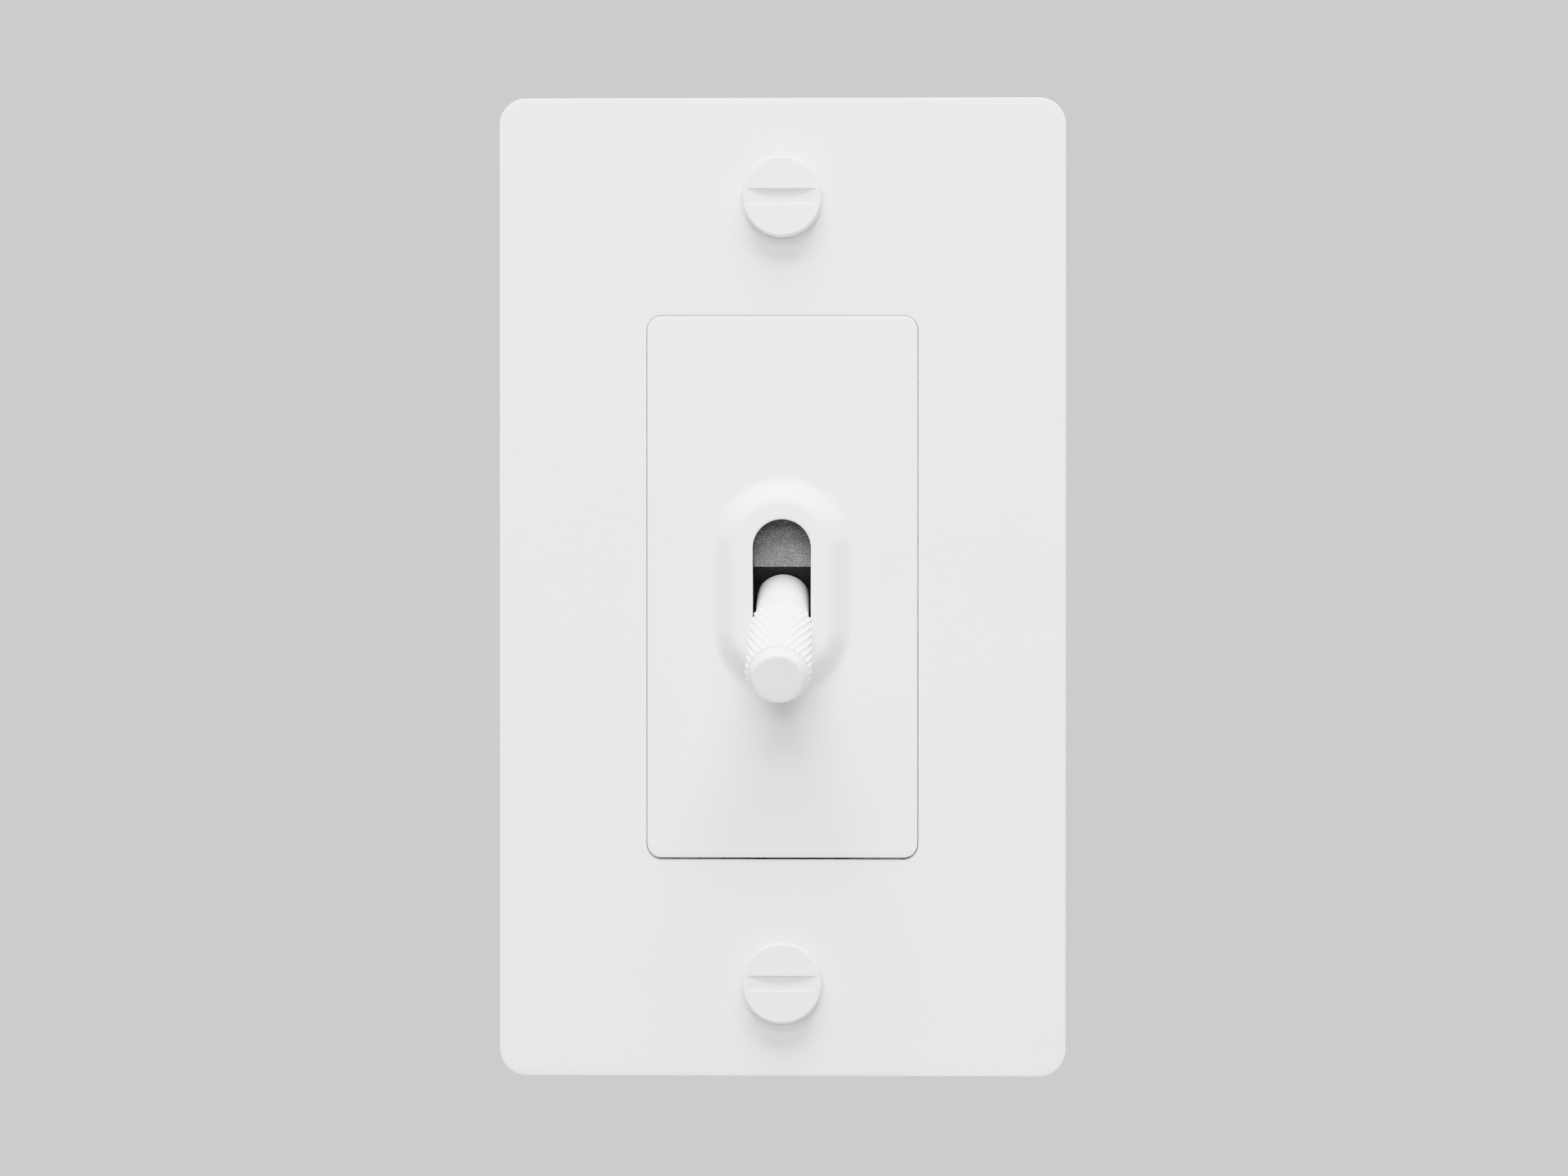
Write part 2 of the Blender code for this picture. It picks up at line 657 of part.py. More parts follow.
def yoke():
    thickness = (-YOKE_THICKNESS, 0)
    strap = new_object("yoke", prism(rounded(*YOKE_BODY, YOKE_CORNER), "Y", *thickness), "steel")
    add(strap, prism(rounded(TONGUE_WIDTH, YOKE_HEIGHT, 2), "Y", *thickness))
    for side in (1, -1):
        ear = rounded(EAR_WIDTH, EAR_HEIGHT, 2, (0, side * (YOKE_HEIGHT - EAR_HEIGHT) / 2))
        add(strap, prism(ear, "Y", *thickness))
    low = (EARTH_TAB_X, -YOKE_THICKNESS / 2, EARTH_TAB_Z - EARTH_TAB_HALF)
    high = (EARTH_TAB_X + EARTH_TAB_THICKNESS, EARTH_TAB_END, EARTH_TAB_Z + EARTH_TAB_HALF)
    add(strap, box(low, high))
    hole = circle(WIRE_SCREW_RADIUS + GAP, (EARTH_SCREW_Y, EARTH_TAB_Z), SCREW_STEPS)
    cut(strap, prism(hole, "X", EARTH_TAB_X - 2, EARTH_TAB_X + 3))
    window = rounded(2 * WINDOW_HALF_X + 0.4, 2 * WINDOW_HALF_Z + 0.4, 1)
    cut(strap, prism(window, "Y", -3, 3))
    for height in (PLATE_SCREW_TOP, PLATE_SCREW_BOTTOM):
        tapped = circle(TAPPED_RADIUS, (0, height), SCREW_STEPS)
        cut(strap, prism(tapped, "Y", -3, 3))
    for side in (1, -1):
        slot = stadium(*DEVICE_SLOT, (0, side * DEVICE_SCREW_Z))
        fixing = circle(FIXING_RADIUS, (0, side * INSERT_SCREW_Z), SCREW_STEPS)
        for outline in (slot, fixing):
            cut(strap, prism(outline, "Y", -3, 3))
        for across in (ASSEMBLY_X, -ASSEMBLY_X):
            outline = circle(ASSEMBLY_HOLE_RADIUS, (across, side * ASSEMBLY_Z), SCREW_STEPS)
            cut(strap, prism(outline, "Y", -3, 3))


def device_screw(label, height):
    place = (0, -YOKE_THICKNESS - GAP, height)
    slotted_screw(f"device_screw_{label}", "steel", 3.4, 0.8, 1.7, 22, place)
    washer = prism(rounded(*RETAINER, 1, (0, height)), "Y", GAP, GAP + RETAINER_THICKNESS)
    retainer = new_object(f"screw_retainer_{label}", washer, "retainer_card")
    cut(retainer, prism(circle(1.7 + GAP, (0, height), SCREW_STEPS), "Y", -1, 2))


def insert_screw(label, height):
    slotted_screw(f"insert_screw_{label}", "steel", 2.2, 1.3, 1.1, 3.3, (0, GAP, height), math.pi)


def ground_screw():
    place = (EARTH_TAB_X + EARTH_TAB_THICKNESS + GAP, EARTH_SCREW_Y, EARTH_TAB_Z)
    slotted_screw("ground_screw", "green_steel", 3.4, 2.2, WIRE_SCREW_RADIUS, 5.2, place, math.pi / 2)


# Moulded housing


def housing_front():
    front = GAP
    tray = prism(rounded(HOUSING_WIDTH, HOUSING_HEIGHT, HOUSING_CORNER), "Y", front, HOUSING_SPLIT)
    housing = new_object("housing_front", tray, "housing_resin")
    floor = front + HOUSING_FLOOR
    cavity = rounded(2 * CAVITY_HALF_X, 2 * CAVITY_HALF_Z, 1)
    cut(housing, prism(cavity, "Y", floor, HOUSING_SPLIT + 1))
    window = rounded(2 * WINDOW_HALF_X, 2 * WINDOW_HALF_Z, 1)
    cut(housing, prism(window, "Y", -1, floor + 1))
    for side in (-1, 1):
        near, far = sorted((side * CHEEK_X, side * (CHEEK_X + CHEEK_THICKNESS)))
        outline = rounded(*CHEEK, 1.5, (CHEEK_MIDDLE_Y, 0))
        add(housing, prism(outline, "X", near, far))
    cut(housing, prism(circle(PIN_RADIUS + GAP, (PIVOT_Y, 0), SCREW_STEPS), "X", -10, 10))
    cut_assembly_holes(housing)


def cut_assembly_holes(housing):
    for across in (ASSEMBLY_X, -ASSEMBLY_X):
        for height in (ASSEMBLY_Z, -ASSEMBLY_Z):
            hole = circle(ASSEMBLY_HOLE_RADIUS, (across, height), SCREW_STEPS)
            cut(housing, prism(hole, "Y", -1, HOUSING_BACK + 1))


def housing_back():
    front = HOUSING_SPLIT + GAP
    cup = prism(rounded(HOUSING_WIDTH, HOUSING_HEIGHT, HOUSING_CORNER), "Y", front, HOUSING_BACK)
    housing = new_object("housing_back", cup, "housing_resin")
    floor = HOUSING_BACK - HOUSING_FLOOR
    cavity = rounded(2 * CAVITY_HALF_X, 2 * CAVITY_HALF_Z, 1)
    cut(housing, prism(cavity, "Y", front - 1, floor))
    for side in (1, -1):
        pocket = rounded(*NUT_POCKET, 0.8, (0, side * ASSEMBLY_Z))
        cut(housing, prism(pocket, "Y", front - 1, floor))
    for side, height in terminal_places().values():
        cut_terminal_recess(housing, side, height)
    cut_assembly_holes(housing)


def cut_terminal_recess(housing, side, height):
    """A recess for the terminal's plate, the slit its strip enters by and clearance for its screw."""
    half = TERMINAL_HALF + RECESS_MARGIN
    back = STRIP_Y + TERMINAL_THICKNESS + RECESS_MARGIN
    near, far = sorted((side * RECESS_X, side * (HOUSING_WIDTH / 2 + 1)))
    cut(housing, box((near, RECESS_FRONT, height - half), (far, back, height + half)))
    near, far = sorted((side * (CAVITY_HALF_X - 1), side * (RECESS_X + 1)))
    half = TERMINAL_HALF + GAP
    strip_back = STRIP_Y + TERMINAL_THICKNESS + GAP
    cut(housing, box((near, STRIP_Y - GAP, height - half), (far, strip_back, height + half)))
    bore = circle(WIRE_SCREW_BORE, (TERMINAL_SCREW_Y, height), SCREW_STEPS)
    cut(housing, prism(bore, "X", near, far))


def terminal_places():
    """label: side of the housing and height of each wire terminal."""
    return {"common": (1, 0), "upper": (-1, TRAVELLER_Z), "lower": (-1, -TRAVELLER_Z)}


def assembly_screws():
    number = 0
    for across in (-ASSEMBLY_X, ASSEMBLY_X):
        for height in (ASSEMBLY_Z, -ASSEMBLY_Z):
            number += 1
            place = (across, HOUSING_BACK + THIN_GAP, height)
            slotted_screw(f"assembly_screw_{number}", "steel", 2.3, 1.3, 1.2, 23.4, place, math.pi)


def main():
    for thing in list(bpy.data.objects):
        bpy.data.objects.remove(thing)
    wall_plate()
    plate_screw("plate_screw_top", PLATE_SCREW_TOP)
    plate_screw("plate_screw_bottom", PLATE_SCREW_BOTTOM)
    insert_face()
    slot_liner()

    lever = lever_axis()
    toggle_bat(lever)
    bat_stud(lever)
    toggle_rocker(lever)
    pivot_pin(lever)
    plunger(lever)
    plunger_spring(lever)

    arm = arm_axis()
    contact_arm(arm)
    moving_contact("moving_contact_upper", arm, True)
    moving_contact("moving_contact_lower", arm, False)
    fixed_contact("fixed_contact_upper", True)
    fixed_contact("fixed_contact_lower", False)
    common_terminal()
    terminal("traveller_terminal_upper", -1, TRAVELLER_Z)
    terminal("traveller_terminal_lower", -1, -TRAVELLER_Z)
    for label, (side, height) in terminal_places().items():
        wire_screw(label, side, height)

    yoke()
    ground_screw()
    for label, side in (("top", 1), ("bottom", -1)):
        device_screw(label, side * DEVICE_SCREW_Z)
        insert_screw(label, side * INSERT_SCREW_Z)
    housing_front()
    housing_back()
    assembly_screws()


main()
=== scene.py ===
"""Toggle wall switch: fine surfaces, procedural finishes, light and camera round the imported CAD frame.

Shapes are drawn in millimetres in the frame's own axes and scaled to metres as each piece is made.
The front faces -Y, +Z is up and +X is to the right as seen from the front.
"""

import json
import math

import bmesh
import bpy
from mathutils import Matrix, Vector


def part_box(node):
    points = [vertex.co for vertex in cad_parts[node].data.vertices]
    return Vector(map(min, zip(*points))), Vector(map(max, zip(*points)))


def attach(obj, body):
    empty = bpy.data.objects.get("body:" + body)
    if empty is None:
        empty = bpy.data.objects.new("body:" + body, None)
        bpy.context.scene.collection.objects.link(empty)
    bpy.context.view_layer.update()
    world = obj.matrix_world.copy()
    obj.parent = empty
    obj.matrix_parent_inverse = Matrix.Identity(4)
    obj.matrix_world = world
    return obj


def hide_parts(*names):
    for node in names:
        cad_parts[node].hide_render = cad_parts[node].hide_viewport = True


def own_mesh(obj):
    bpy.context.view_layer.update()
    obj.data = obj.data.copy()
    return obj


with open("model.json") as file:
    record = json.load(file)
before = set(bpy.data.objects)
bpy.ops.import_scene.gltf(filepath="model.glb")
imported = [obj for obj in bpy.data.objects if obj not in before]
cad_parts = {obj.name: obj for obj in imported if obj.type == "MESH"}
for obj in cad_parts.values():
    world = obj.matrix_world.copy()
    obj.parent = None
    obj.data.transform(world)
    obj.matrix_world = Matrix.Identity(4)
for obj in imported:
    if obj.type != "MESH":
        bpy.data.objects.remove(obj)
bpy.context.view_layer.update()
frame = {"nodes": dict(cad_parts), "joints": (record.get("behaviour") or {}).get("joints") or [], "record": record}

MM = 0.001

# Cover plate
PLATE_CORNER = 3.3
PLATE_EDGE = (0.8, 0.05, 0.12)  # width and sag of the roll-off, radius of the edge
PLATE_SKIN = 1.2
PLATE_RIM = 3.0
PLATE_SOFT = 0.12  # radius of its other edges
PLATE_FILLET = 0.3
PLATE_GUARD = 1.4  # flat strip kept inside the rim, so that its edges stay clean
OPENING_WIDTH = 33.4
OPENING_HEIGHT = 66.8
OPENING_CORNER = 1.9
OPENING_EDGE = (0.55, 0.06, 0.05)
OPENING_GUARD = 1.2
PLATE_HOLE = 2.1

# Insert, collar and liner
INSERT_CORNER = 1.7
INSERT_INNER_CORNER = 1
INSERT_EDGE = (0.55, 0.06, 0.05)
INSERT_SKIN = 1.4
INSERT_WALL = 1.2
INSERT_SOFT = 0.1
INSERT_FILLET = 0.25
INSERT_GUARD = 1.2
BOSS_RADIUS = 2.6
BOSS_HOLE = 1.4
BOSS_HOLE_DEPTH = 0.6
SLOT_WIDTH = 7.14
SLOT_HEIGHT = 16.75
SLOT_ROUND = 0.22
SLOT_GUARD = 0.5
SLOT_LIP = 0.8
SLOT_CHAMFER = 0.05
COLLAR_FOOT = (5.4, 3.9)  # the sweep up from the insert starts and ends this far from the slot
COLLAR_RIM = (3.5, 1.5)  # the roll over into the rim does the same
COLLAR_RISE = 2.3
COLLAR_STEPS = 28
SOCKET_STEP = 0.95
LINER_WALL = 0.65
LINER_SOFT = 0.06
FLANGE_STEP = 2.2
FLANGE_DEPTH = 0.8

# Coin screws
COIN_FACE = 4.6
COIN_SLOT_HALF = 0.925
COIN_SLOT_REACH = 4.3
COIN_SLOT_DEPTH = 0.75
COIN_SLOT_EDGE = 0.07
COIN_SLOT_STEPS = (32, 4)  # along the slot and round its edge
COIN_FACE_EDGE = ((0, 0), (0.1, 0), (0.13, 0.03))  # outward and back from the face's edge
COIN_RIM = ((0.07, 0.22), (0.02, 0.28), (0, 0.36))  # inward from the side and back from the face
COIN_SOFT = 0.15
COIN_FILLET = 0.2
COIN_HEAD_HEIGHT = 2.5
COIN_SHANK = 1.7

# Threads: the pitch grows with the shank's radius
PITCH_BASE = 0.3
PITCH_SLOPE = 0.3
THREAD_STEPS = 8  # rings in a turn
THREAD_DEPTH = 0.3  # share of the pitch
THREAD_POINT = 0.45  # share of the radius that the shank's end loses

# Lever, measured along it from the pivot
GRIP_FOOT = 12.9
SHOULDER = 0.3
NECK_RADIUS = 3.3
NECK_FLARE = 0.06
FLARE_RUN = 0.12
NECK_SOFT = 0.1
GRIP_RADIUS = 4.0
GRIP_END = 26.05
RING_RADIUS = 3.5
RING_END_RADIUS = 3.1
RING_GROOVE = ((0, 0.1), (0.12, 0.1), (0.2, 0))  # past the grip's end and inward from the ring
FACE_EDGE = 0.06
FACE_GUARD = 0.4
BAT_BORE_RADIUS = 2.0
BAT_BORE_END = 14.0
BORE_POINT = 0.01
WING_LEAN = 0.6  # how far a wing's face leans forward and up or down
PIN_CHAMFER = 0.15
STUD_RADIUS = 1.7
STUD_CHAMFER = 0.4
STUD_BALL = 2.4
STUD_BALL_STEPS = 20
BALL_FLAT = 0.12  # radians
PIN_HOLE = 1.2
PLUNGER_PIP = ((0, 0.9), (0.3, 1.2), (1.2, 1.2), (1.2, 2.5), (1.3, 2.6))  # (back, radius)
PLUNGER_RADIUS = 2.6
PLUNGER_CHAMFER = 0.3
PLUNGER_SHOULDER = 10.2
PLUNGER_NOSE = 1.5
NOSE_TURN = (10, 8, 11)  # degrees at its root, degrees in a step and steps
SPRING_TURNS = 4
SPRING_RADIUS = 2.0
SPRING_WIRE = 0.3
KNURL_STARTS = 30
KNURL_PITCH = 2.42
KNURL_DEPTH = 0.26
KNURL_CELLS = 7  # grid steps across half a diamond
GROOVE_HALF = 0.4  # share of a diamond's width
RUN_OUT = 1.3  # slope of the knurl's end

# Clean-up of copied CAD shapes: metres and degrees
SAME_POINT = 2e-6
FLAT_ANGLE = 0.6

# Steps round a circle, a screw, a small hole, a corner and an edge
ROUND = 96
SCREW_ROUND = 64
SMALL_ROUND = 48
CORNER = 12
EASE = 6


# Outlines and profiles


def rounded(width, height, radius, centre=(0, 0), steps=CORNER):
    """The outline of a rectangle with round corners, as (x, z) pairs."""
    points = []
    for corner in range(4):
        side_x = 1 if corner in (0, 3) else -1
        side_z = 1 if corner in (0, 1) else -1
        for step in range(steps + 1):
            angle = math.pi / 2 * (corner + step / steps)
            x = centre[0] + side_x * (width / 2 - radius) + radius * math.cos(angle)
            z = centre[1] + side_z * (height / 2 - radius) + radius * math.sin(angle)
            points.append((x, z))
    return points


def stadium(width, height, centre=(0, 0), steps=CORNER * 2):
    """A slot outline: its ends are half circles, cut a hair short so that no two points meet."""
    return rounded(width, height, min(width, height) / 2 - 0.001, centre, steps)


def circle(radius, centre=(0, 0), steps=ROUND):
    """A circle's outline, as (x, z) pairs."""
    angles = [math.tau * step / steps for step in range(steps)]
    return [(centre[0] + radius * math.cos(a), centre[1] + radius * math.sin(a)) for a in angles]


def ring(outline, y):
    """An outline set at a depth, as points."""
    return [(x, y, z) for x, z in outline]


def quarter(centre, radius, start, end, steps=EASE):
    """Points on an arc, as (offset, y) pairs; angles in degrees count from the outward side towards +Y."""
    angles = [math.radians(start + (end - start) * step / steps) for step in range(steps + 1)]
    return [(centre[0] + radius * math.cos(a), centre[1] + radius * math.sin(a)) for a in angles]


def eased_edge(front, width, sag, radius):
    """(offset, y) pairs over a coated front edge: a slight roll-off, then a tight round into the side."""
    profile = []
    for step in range(EASE):
        share = step / EASE
        profile.append((-radius - width * (1 - share), front + sag * share**2))
    return profile + quarter((-radius, front + sag + radius), radius, -75, 0)


def smooth(share):
    """A curve from 0 to 1 that starts and ends level."""
    share = min(1, max(0, share))
    return share * share * (3 - 2 * share)


# Meshes

ADD = "UNION"
CUT = "DIFFERENCE"


class Shell:
    """One closed surface, put together from loops of points, bands between loops and flat fills."""

    def __init__(self):
        self.mesh = bmesh.new()

    def loop(self, points):
        return [self.mesh.verts.new(point) for point in points]

    def band(self, near, far):
        for i in range(len(near)):
            j = (i + 1) % len(near)
            self.mesh.faces.new((near[i], near[j], far[j], far[i]))

    def bands(self, rings):
        """Loops through all the rings, joined one to the next; returns them."""
        loops = [self.loop(ring) for ring in rings]
        for near, far in zip(loops, loops[1:]):
            self.band(near, far)
        return loops

    def fill(self, *loops):
        """A flat face inside the first loop, with the other loops as holes in it."""
        edges = []
        for loop in loops:
            for a, b in zip(loop, loop[1:] + loop[:1]):
                edges.append(self.mesh.edges.get((a, b)) or self.mesh.edges.new((a, b)))
        bmesh.ops.triangle_fill(self.mesh, use_beauty=True, edges=edges, normal=(0, 0, 0))

    def cap(self, loop, apex):
        """A fan from a loop to one point."""
        tip = self.mesh.verts.new(apex)
        for a, b in zip(loop, loop[1:] + loop[:1]):
            self.mesh.faces.new((a, b, tip))

    def transform(self, matrix):
        bmesh.ops.transform(self.mesh, matrix=matrix, verts=self.mesh.verts)

    def data(self, name):
        """The finished mesh data, in metres and facing out."""
        bmesh.ops.recalc_face_normals(self.mesh, faces=self.mesh.faces)
        bmesh.ops.scale(self.mesh, vec=(MM, MM, MM), verts=self.mesh.verts)
        data = bpy.data.meshes.new(name)
        self.mesh.to_mesh(data)
        self.mesh.free()
        return data


def prism(outline, axis, low, high):
    """The outline pushed along an axis; its two coordinates are the other two axes, in order."""
    place = {
        "X": lambda along, a, b: (along, a, b),
        "Y": lambda along, a, b: (a, along, b),
        "Z": lambda along, a, b: (a, b, along),
    }[axis]
    shell = Shell()
    near, far = shell.bands([[place(along, a, b) for a, b in outline] for along in (low, high)])
    shell.mesh.faces.new(near)
    shell.mesh.faces.new(far)
    return shell


def block(low, high):
    corners = [(low[0], low[1]), (high[0], low[1]), (high[0], high[1]), (low[0], high[1])]
    return prism(corners, "Z", low[2], high[2])


def added(name, data):
    """A new object of that data, linked to the scene."""
    thing = bpy.data.objects.new(name, data)
    bpy.context.scene.collection.objects.link(thing)
    return thing


def carved(name, base, *steps):
    """Mesh data of the base shell after each (operation, shell) Boolean step, in order."""
    body = added(name, base.data(name))
    tools = []
    for number, (operation, shell) in enumerate(steps):
        tool = added(f"{name}_tool_{number}", shell.data("tool"))
        modifier = body.modifiers.new(tool.name, "BOOLEAN")
        modifier.operation = operation
        modifier.object = tool
        tools.append(tool)
    bpy.context.view_layer.update()
    depsgraph = bpy.context.evaluated_depsgraph_get()
    data = bpy.data.meshes.new_from_object(body.evaluated_get(depsgraph))
    for thing in [body, *tools]:
        bpy.data.objects.remove(thing)
    return data


BODY_OF = {
    node: body for body, nodes in frame["record"]["behaviour"]["bodies"].items() for node in nodes
}


def stand_in(name, made, node, *materials, bevel=None, sharp=40):
    """A finished piece, from a shell or mesh data, that stands for a CAD node: it rides on the node's
    body, and the node is hidden.
    """
    data = made.data(name) if isinstance(made, Shell) else made
    piece = added(name, data)
    for material in materials:
        data.materials.append(material)
    data.shade_smooth()
    data.set_sharp_from_angle(angle=math.radians(sharp))
    if bevel:
        rounding = piece.modifiers.new("edges", "BEVEL")
        rounding.width = bevel * MM
        rounding.segments = 2
        rounding.limit_method = "ANGLE"
        rounding.angle_limit = math.radians(30)
        rounding.miter_outer = "MITER_ARC"
    shading = piece.modifiers.new("shading", "WEIGHTED_NORMAL")
    shading.keep_sharp = not bevel
    shading.weight = 80
    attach(piece, BODY_OF[node])
    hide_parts(node)
    return piece


def box_mm(node):
    """A CAD node's lowest and highest corners, in millimetres."""
    low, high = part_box(node)
    return low / MM, high / MM


def middle_z(node):
    low, high = box_mm(node)
    return (low.z + high.z) / 2


# Front pieces


def hole_rings(centre, radius, front, back, ease):
    """Rings of a round hole through a skin, its two edges softened."""
    profile = quarter((ease, front + ease), ease, -90, -180, 3)
    profile += quarter((ease, back - ease), ease, 180, 90, 3)
    return [ring(circle(radius + out, centre), y) for out, y in profile]


def cover_plate():
    """A thick plate hollowed behind, with the insert's opening and two screw holes."""
    low, high = box_mm("wall_plate")
    front, back = low.y, high.y
    width, height = high.x - low.x, high.z - low.z
    floor = front + PLATE_SKIN
    shell = Shell()

    def outer(offset, y):
        return ring(rounded(width + 2 * offset, height + 2 * offset, PLATE_CORNER + offset), y)

    def pocket(offset, y):
        inner = 2 * (offset - PLATE_RIM)
        return ring(rounded(width + inner, height + inner, PLATE_CORNER + offset), y)

    def opening(offset, y):
        size = (OPENING_WIDTH + 2 * offset, OPENING_HEIGHT + 2 * offset)
        return ring(rounded(*size, OPENING_CORNER + offset), y)

    soft, fillet = PLATE_SOFT, PLATE_FILLET
    rings = [outer(-PLATE_GUARD, front)]
    rings += [outer(o, y) for o, y in eased_edge(front, *PLATE_EDGE)]
    rings += [outer(o, y) for o, y in quarter((-soft, back - soft), soft, 0, 90, 3)]
    rings += [pocket(o, y) for o, y in quarter((soft, back - soft), soft, 90, 180, 3)]
    rings += [pocket(o, y) for o, y in quarter((-fillet, floor + fillet), fillet, 0, -90)]
    rings.append(pocket(-PLATE_GUARD, floor))
    sides = shell.bands(rings)

    rings = [opening(OPENING_GUARD, front)]
    rings += [opening(-o, y) for o, y in eased_edge(front, *OPENING_EDGE)]
    rings += [opening(o, y) for o, y in quarter((soft, floor - soft), soft, 180, 90, 3)]
    rings.append(opening(OPENING_GUARD, floor))
    gates = [shell.bands(rings)]
    for node in ("plate_screw_top", "plate_screw_bottom"):
        gates.append(shell.bands(hole_rings((0, middle_z(node)), PLATE_HOLE, front, floor, soft)))
    shell.fill(sides[0], *[gate[0] for gate in gates])
    shell.fill(sides[-1], *[gate[-1] for gate in gates])
    stand_in("cover_plate", shell, "wall_plate", powder_coat)


def slot_ring(offset, y):
    """The slot's outline, grown by an offset and set at a depth."""
    return ring(stadium(SLOT_WIDTH + 2 * offset, SLOT_HEIGHT + 2 * offset), y)


def collar_profile(front):
    """(offset from the slot, y) from the collar's foot over its rim, down the slot and into the socket."""
    heights = [0.0]
    spread = COLLAR_FOOT[0] - COLLAR_RIM[1]
    for step in range(1, COLLAR_STEPS + 1):
        offset = COLLAR_FOOT[0] - spread * (step - 0.5) / COLLAR_STEPS
        sweep = smooth((COLLAR_FOOT[0] - offset) / (COLLAR_FOOT[0] - COLLAR_FOOT[1]))
        roll = smooth((offset - COLLAR_RIM[1]) / (COLLAR_RIM[0] - COLLAR_RIM[1]))
        heights.append(heights[-1] + sweep * roll)
    profile = []
    for step, height in enumerate(heights):
        offset = COLLAR_FOOT[0] - spread * step / COLLAR_STEPS
        profile.append((offset, front - COLLAR_RISE * height / heights[-1]))
    rim = front - COLLAR_RISE
    profile.append((SLOT_ROUND + SLOT_GUARD, rim))
    profile += quarter((SLOT_ROUND, rim + SLOT_ROUND), SLOT_ROUND, -90, -180)
    profile.append((0, rim + SLOT_LIP - SLOT_CHAMFER))
    profile.append((SLOT_CHAMFER, rim + SLOT_LIP))
    profile.append((SOCKET_STEP, rim + SLOT_LIP))
    profile.append((SOCKET_STEP, front + INSERT_SKIN))
    return profile


def insert_with_collar():
    """The insert: a hollow block with two screw bosses behind and the raised slot collar in front."""
    low, high = box_mm("insert_face")
    front = low.y + COLLAR_RISE
    back = high.y
    floor = front + INSERT_SKIN
    centre = (0, (low.z + high.z) / 2)
    width, height = high.x - low.x, high.z - low.z
    shell = Shell()

    def outer(offset, y):
        size = (width + 2 * offset, height + 2 * offset)
        return ring(rounded(*size, INSERT_CORNER + offset, centre), y)

    def inner(offset, y):
        step = 2 * (offset - INSERT_WALL)
        return ring(rounded(width + step, height + step, INSERT_INNER_CORNER + offset, centre), y)

    soft, fillet = INSERT_SOFT, INSERT_FILLET
    rings = [outer(-INSERT_GUARD, front)]
    rings += [outer(o, y) for o, y in eased_edge(front, *INSERT_EDGE)]
    rings += [outer(o, y) for o, y in quarter((-soft, back - soft), soft, 0, 90, 3)]
    rings += [inner(o, y) for o, y in quarter((soft, back - soft), soft, 90, 180, 3)]
    rings += [inner(o, y) for o, y in quarter((-fillet, floor + fillet), fillet, 0, -90, 3)]
    sides = shell.bands(rings)

    collar = shell.bands([slot_ring(offset, y) for offset, y in collar_profile(front)])

    bosses = []
    profile = [(BOSS_RADIUS, floor), (BOSS_RADIUS, back - soft), (BOSS_RADIUS - soft, back)]
    profile += [(BOSS_HOLE + soft, back), (BOSS_HOLE, back - soft)]
    profile.append((BOSS_HOLE, floor - BOSS_HOLE_DEPTH))
    for node in ("insert_screw_top", "insert_screw_bottom"):
        place = (0, middle_z(node))
        loops = shell.bands([ring(circle(r, place, SMALL_ROUND), y) for r, y in profile])
        shell.fill(loops[-1])
        bosses.append(loops[0])
    shell.fill(sides[0], collar[0])
    shell.fill(sides[-1], collar[-1], *bosses)
    stand_in("insert_with_collar", shell, "insert_face", powder_coat)


def liner():
    """The dark tube round the slot, with a flange behind that the insert traps."""
    low, high = box_mm("slot_liner")
    front, back = low.y, high.y
    flange = back - FLANGE_DEPTH
    soft = LINER_SOFT
    profile = [(LINER_WALL - soft, front), (soft, front), (0, front + soft), (0, back)]
    profile += [(LINER_WALL + FLANGE_STEP, back), (LINER_WALL + FLANGE_STEP, flange)]
    profile += [(LINER_WALL, flange), (LINER_WALL, front + soft)]
    shell = Shell()
    loops = shell.bands([slot_ring(offset, y) for offset, y in profile])
    shell.band(loops[-1], loops[0])
    stand_in("slot_liner_tube", shell, "slot_liner", black_nylon)


def coin_slot(shell, face, centre):
    """A slot with its floor on a disc's arc and rolled edges; returns the loop where it meets the face."""
    disc = (COIN_SLOT_REACH**2 + COIN_SLOT_DEPTH**2) / (2 * COIN_SLOT_DEPTH)
    along, rolled = COIN_SLOT_STEPS
    rows = []
    for step in range(along + 1):
        x = COIN_SLOT_REACH * math.cos(math.pi * (1 - step / along))
        depth = math.sqrt(disc**2 - x**2) - (disc - COIN_SLOT_DEPTH)
        ease = min(COIN_SLOT_EDGE, 0.9 * depth)
        half = [(COIN_SLOT_HALF + 2 * ease, face)]
        for part in range(rolled + 1):
            a = math.pi / 2 * part / rolled
            half.append((COIN_SLOT_HALF + ease - ease * math.sin(a), face + ease - ease * math.cos(a)))
        half.append((COIN_SLOT_HALF, face + depth))
        section = [(-z, y) for z, y in half] + [(z, y) for z, y in reversed(half)]
        if depth < 1e-6:
            section = [(-COIN_SLOT_HALF, face), (COIN_SLOT_HALF, face)]
        rows.append([shell.mesh.verts.new((x, y, centre + z)) for z, y in section])
    for near, far in zip(rows[1:], rows[2:-1]):
        for i in range(len(near) - 1):
            shell.mesh.faces.new((near[i], near[i + 1], far[i + 1], far[i]))
    shell.mesh.faces.new([rows[0][1], rows[0][0], *rows[1]])
    shell.mesh.faces.new([rows[-1][0], rows[-1][1], *reversed(rows[-2])])
    lower = [row[0] for row in rows]
    upper = [row[-1] for row in rows]
    return lower + upper[::-1]


